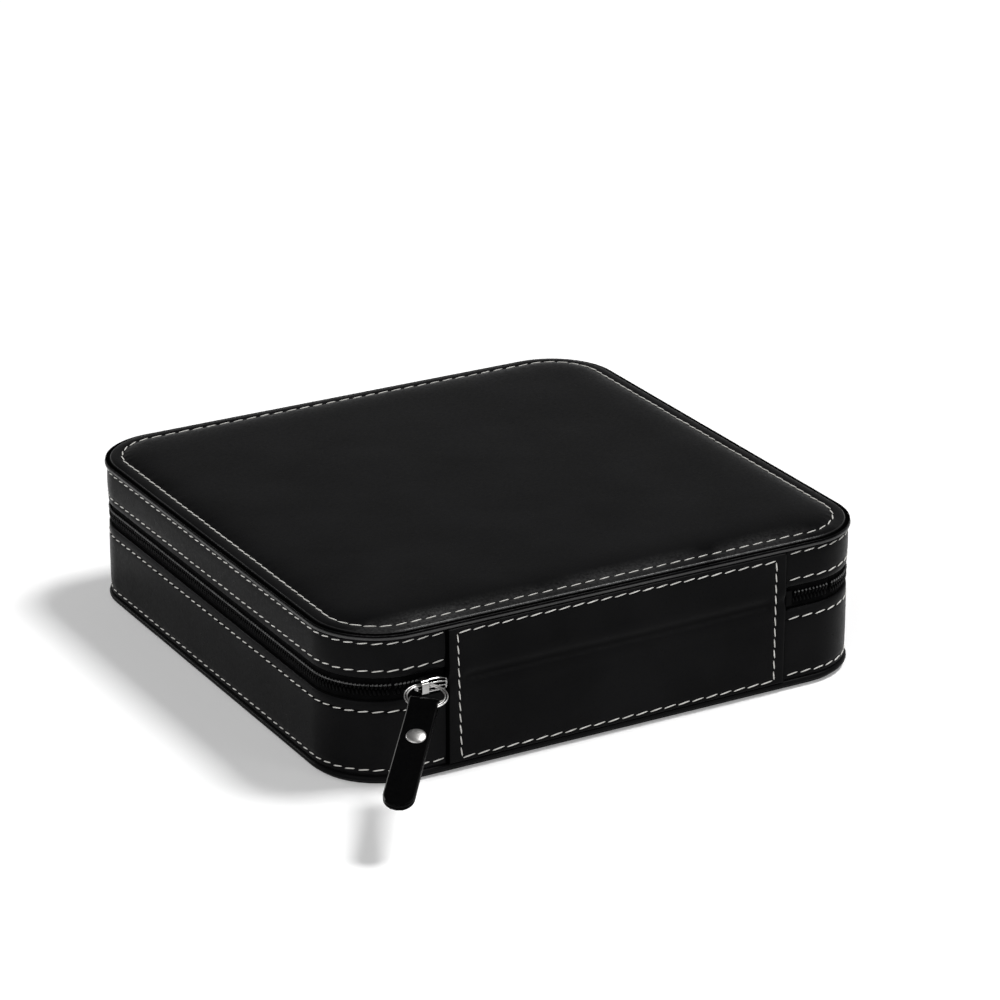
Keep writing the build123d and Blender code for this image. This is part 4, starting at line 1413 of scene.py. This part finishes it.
@dataclass
class Interior:
    """Watch pillows and the padded lining of the lid."""

    shop: Workshop
    outline: Outline
    pillows: int = 6
    slack: float = 1.0
    voxel: float = 3.0
    cap: float = 2.2
    seam_share: float = 0.86
    inside_inset: float = 5.4
    pad_back: float = 43.4
    pad_face: float = 41.35

    def pillow_blank(self, half: Vector) -> bpy.types.Object:
        """Return a rounded block, a little smaller than a pillow, that is to be stuffed.

        Args:
            half: half the pillow's size, in metres.

        Returns:
            A scratch object.
        """
        bm = bmesh.new()
        bmesh.ops.create_cube(bm, size=2.0)
        bmesh.ops.subdivide_edges(bm, edges=bm.edges[:], cuts=14, use_grid_fill=True)
        slack = half - Vector((self.slack, self.slack, self.slack)) * MM
        for vert in bm.verts:
            x, y, z = vert.co
            squeeze = 1 - 0.1 * y**4
            round_x = math.sqrt(max(0.0, 1 - 0.45 * z * z * abs(x)))
            round_z = math.sqrt(max(0.0, 1 - (0.5 if z > 0 else 0.2) * x * x * abs(z)))
            vert.co = Vector((x * round_x * squeeze * slack.x, y * (1 - 0.05 * (x * x + z * z)) * slack.y,
                              z * round_z * squeeze * slack.z))
        mesh = bpy.data.meshes.new("pillow_blank")
        bm.to_mesh(mesh)
        bm.free()
        blank = bpy.data.objects.new("pillow_blank", mesh)
        bpy.context.scene.collection.objects.link(blank)
        return blank

    @staticmethod
    def settle(piece: bpy.types.Object) -> None:
        """Put what a piece's modifiers give into its mesh and take them off."""
        graph = bpy.context.evaluated_depsgraph_get()
        mesh = bpy.data.meshes.new_from_object(piece.evaluated_get(graph))
        piece.modifiers.clear()
        old, piece.data = piece.data, mesh
        bpy.data.meshes.remove(old)

    def stuff(self, blank: bpy.types.Object) -> None:
        """Swell a blank by a cloth simulation under pressure, with every point's way capped.

        Args:
            blank: the scratch object, which is changed.
        """
        remesh = blank.modifiers.new("remesh", "REMESH")
        remesh.mode = "VOXEL"
        remesh.voxel_size = self.voxel * MM
        self.settle(blank)
        before = [vert.co.copy() for vert in blank.data.vertices]
        cloth = blank.modifiers.new("stuffing", "CLOTH")
        cloth.settings.use_pressure = True
        cloth.settings.uniform_pressure_force = 4.0
        cloth.settings.effector_weights.gravity = 0.0
        for step in range(1, 21):
            bpy.context.scene.frame_set(step)
        self.settle(blank)
        bpy.context.scene.frame_set(1)
        for vert, start in zip(blank.data.vertices, before):
            way = vert.co - start
            if way.length > self.cap * MM:
                vert.co = start + way.normalized() * self.cap * MM
        blank.modifiers.new("finer", "SUBSURF").levels = 1
        self.settle(blank)

    def sew(self, bm: bmesh.types.BMesh, half: Vector) -> None:
        """Press the end seams and their puckers into a pillow, and keep it inside its place.

        Args:
            bm: the pillow about its own centre.
            half: half the space that it has, in metres.
        """
        for vert in bm.verts:
            away = (abs(vert.co.y) / half.y - self.seam_share) / 0.018
            seam = math.exp(-away * away)
            around = math.atan2(vert.co.z * half.x / half.z, vert.co.x)
            pucker = math.exp(-((away / 4) ** 2)) * max(0.0, math.cos(around * 18))
            shrink = 1 - 0.035 * seam - 0.012 * pucker
            vert.co.x *= shrink
            vert.co.z *= shrink
            for axis in range(3):
                vert.co[axis] = max(-half[axis], min(half[axis], vert.co[axis]))

    def add_pillows(self) -> None:
        """Add the crowned watch pillows with seamed ends, all from one stuffed form."""
        low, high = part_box("watch_pillow_1")
        half = (high - low) / 2
        blank = self.pillow_blank(half)
        self.stuff(blank)
        for number in range(1, self.pillows + 1):
            low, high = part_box(f"watch_pillow_{number}")
            bm = bmesh.new()
            bm.from_mesh(blank.data)
            if number % 2:
                bmesh.ops.scale(bm, vec=(-1, -1, 1), verts=bm.verts[:])
            self.sew(bm, half)
            bmesh.ops.translate(bm, vec=(low + high) / 2, verts=bm.verts[:])
            pillow = self.shop.piece(f"pillow_{number}", bm, self.shop.finishes.pillow, Slot.PILLOW,
                                     Body.BASE, (f"watch_pillow_{number}",))
        bpy.data.objects.remove(blank)

    def add_lid_pad(self) -> None:
        """Add the padded lining inside the lid, with its tucked edge."""
        bm = bmesh.new()
        edge = self.inside_inset
        face = self.pad_face
        tuck = ((0.0, 1.3), (0.3, 0.9), (1.0, 0.5), (2.4, 0.22), (5.0, 0.08), (9.0, 0.02), (14.0, 0.0))
        profile = [(edge, self.pad_back)] + [(edge + inward, face + rise) for inward, rise in tuck]
        loft(bm, self.outline, profile, 280, closed=False)
        pad = self.shop.piece("lid_lining_cushion", bm, self.shop.finishes.lining, Slot.LINING, Body.LID,
                              ("lid_lining_pad",))

    def build(self) -> None:
        """Add the pillows and the lid's lining."""
        self.add_pillows()
        self.add_lid_pad()


@dataclass
class Studio:
    """Pale floor, soft light and the camera."""

    back_azimuth: float = -29.08
    elevation: float = 22.62
    distance: float = 1236.0
    aim_height: float = 27.5
    focal_pixels: float = 4017.0
    image_pixels: float = 1000.0
    centre_shift_px: tuple[float, float] = (-29.26, 42.76)
    sensor: float = 36.0
    lamp_reach: float = 3.0

    def directions(self) -> tuple[Vector, Vector, Vector]:
        """Return the camera's right, up and backward directions."""
        turn, lift = math.radians(self.back_azimuth), math.radians(self.elevation)
        back = Vector((math.sin(turn) * math.cos(lift), -math.cos(turn) * math.cos(lift), math.sin(lift)))
        right = Vector((0, 0, 1)).cross(back).normalized()
        return right, back.cross(right), back

    def add_camera(self) -> None:
        """Add the camera, aimed so that the case lies where the picture has it."""
        right, up, back = self.directions()
        stand = mm(0, 0, self.aim_height) + back * self.distance * MM
        aim = -back - right * (self.centre_shift_px[0] / self.focal_pixels)
        aim += up * (self.centre_shift_px[1] / self.focal_pixels)
        data = bpy.data.cameras.new("camera")
        data.sensor_width = self.sensor
        data.sensor_fit = "HORIZONTAL"
        data.lens = self.sensor * self.focal_pixels / self.image_pixels
        data.clip_start = 0.05
        data.clip_end = 30.0
        camera = bpy.data.objects.new("camera", data)
        camera.location = stand
        camera.rotation_euler = aim.to_track_quat("-Z", "Y").to_euler()
        bpy.context.scene.collection.objects.link(camera)
        bpy.context.scene.camera = camera

    def add_floor(self) -> None:
        """Add the floor, a wide pale disc."""
        bm = bmesh.new()
        bmesh.ops.create_circle(bm, cap_ends=True, segments=96, radius=6.0)
        mesh = bpy.data.meshes.new("floor")
        bm.to_mesh(mesh)
        bm.free()
        graph = NodeGraph("floor paint")
        graph.shader.inputs["Roughness"].default_value = 0.9
        graph.shader.inputs["Specular IOR Level"].default_value = 0.1
        graph.shader.inputs["Emission Color"].default_value = (1.0, 1.0, 1.0, 1.0)
        graph.shader.inputs["Emission Strength"].default_value = 0.2
        graph.shade(graph.noise(3.0), (0.86, 0.86, 0.86), (0.88, 0.88, 0.88))
        mesh.materials.append(graph.material)
        floor = bpy.data.objects.new("floor", mesh)
        bpy.context.scene.collection.objects.link(floor)

    def add_lamp(self, name: str, direction: tuple[float, float, float], size: float, power: float) -> None:
        """Add a square soft lamp that faces the case.

        Args:
            name: the lamp's name.
            direction: where it stands, seen from the case.
            size: its side, in metres.
            power: its power in watts.
        """
        data = bpy.data.lights.new(name, "AREA")
        data.shape = "SQUARE"
        data.size = size
        data.energy = power
        lamp = bpy.data.objects.new(name, data)
        lamp.location = Vector(direction).normalized() * self.lamp_reach
        lamp.rotation_euler = (Vector((0, 0, 0.02)) - lamp.location).to_track_quat("-Z", "Y").to_euler()
        bpy.context.scene.collection.objects.link(lamp)

    def add_world(self) -> None:
        """Add a surround that is pale near the horizon and dark above, and that the camera sees as white."""
        world = bpy.data.worlds.new("surround")
        world.use_nodes = True
        tree = world.node_tree
        shade = tree.nodes["Background"]
        path = tree.nodes.new("ShaderNodeLightPath")
        coords = tree.nodes.new("ShaderNodeTexCoord")
        axes = tree.nodes.new("ShaderNodeSeparateXYZ")
        fall = tree.nodes.new("ShaderNodeMapRange")
        fall.interpolation_type = "SMOOTHSTEP"
        for key, number in (("From Min", 0.1), ("From Max", 0.66), ("To Min", 0.52), ("To Max", 0.06)):
            fall.inputs[key].default_value = number
        pick = tree.nodes.new("ShaderNodeMapRange")
        pick.inputs["To Max"].default_value = 1.0
        tree.links.new(coords.outputs["Generated"], axes.inputs["Vector"])
        tree.links.new(axes.outputs["Z"], fall.inputs["Value"])
        tree.links.new(fall.outputs["Result"], pick.inputs["To Min"])
        tree.links.new(path.outputs["Is Camera Ray"], pick.inputs["Value"])
        tree.links.new(pick.outputs["Result"], shade.inputs["Strength"])
        shade.inputs["Color"].default_value = (1.0, 1.0, 1.0, 1.0)
        bpy.context.scene.world = world

    def build(self) -> None:
        """Add the whole studio."""
        self.add_floor()
        self.add_lamp("key", (0.45, -0.09, 0.89), 0.8, 76.0)
        self.add_lamp("rim", (-0.5, 0.8, 0.25), 0.6, 14.0)
        self.add_lamp("front", (0.45, -0.86, 0.3), 0.7, 9.0)
        self.add_lamp("fill", (-0.75, -0.35, 0.56), 2.4, 36.0)
        self.add_world()
        self.add_camera()


def dress_nodes(frame: dict, finishes: Finishes) -> None:
    """Give every CAD node that still shows the finish of its slot.

    Args:
        frame: the loaded frame.
        finishes: the materials.
    """
    slots = {entry["node"]: Slot(entry["material_slot"]) for entry in frame["record"]["subparts"]}
    for name, node in frame["nodes"].items():
        node.data.materials.clear()
        node.data.materials.append(finishes.for_slot(slots[name]))


def main() -> None:
    """Build the case's looks around the frame."""
    logging.basicConfig(level=logging.INFO, format="%(name)s %(message)s")
    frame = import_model()
    finishes = Finishes()
    dress_nodes(frame, finishes)
    low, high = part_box("bottom_piping")
    outline = Outline((high.x - low.x) / MM, (high.y - low.y) / MM, 22.0)
    shop = Workshop(finishes)
    stitches = Stitching(shop)
    CaseShell(shop, outline, stitches).build()
    HingePanel(shop, stitches).build()
    ZipChain(shop, outline).build()
    ZipSlider(shop).build()
    PullTab(shop).build()
    Interior(shop, outline).build()
    Studio().build()
    bpy.context.scene.view_settings.view_transform = "Standard"
    LOG.info("%d pieces", shop.made)


if __name__ == "__main__":
    main()
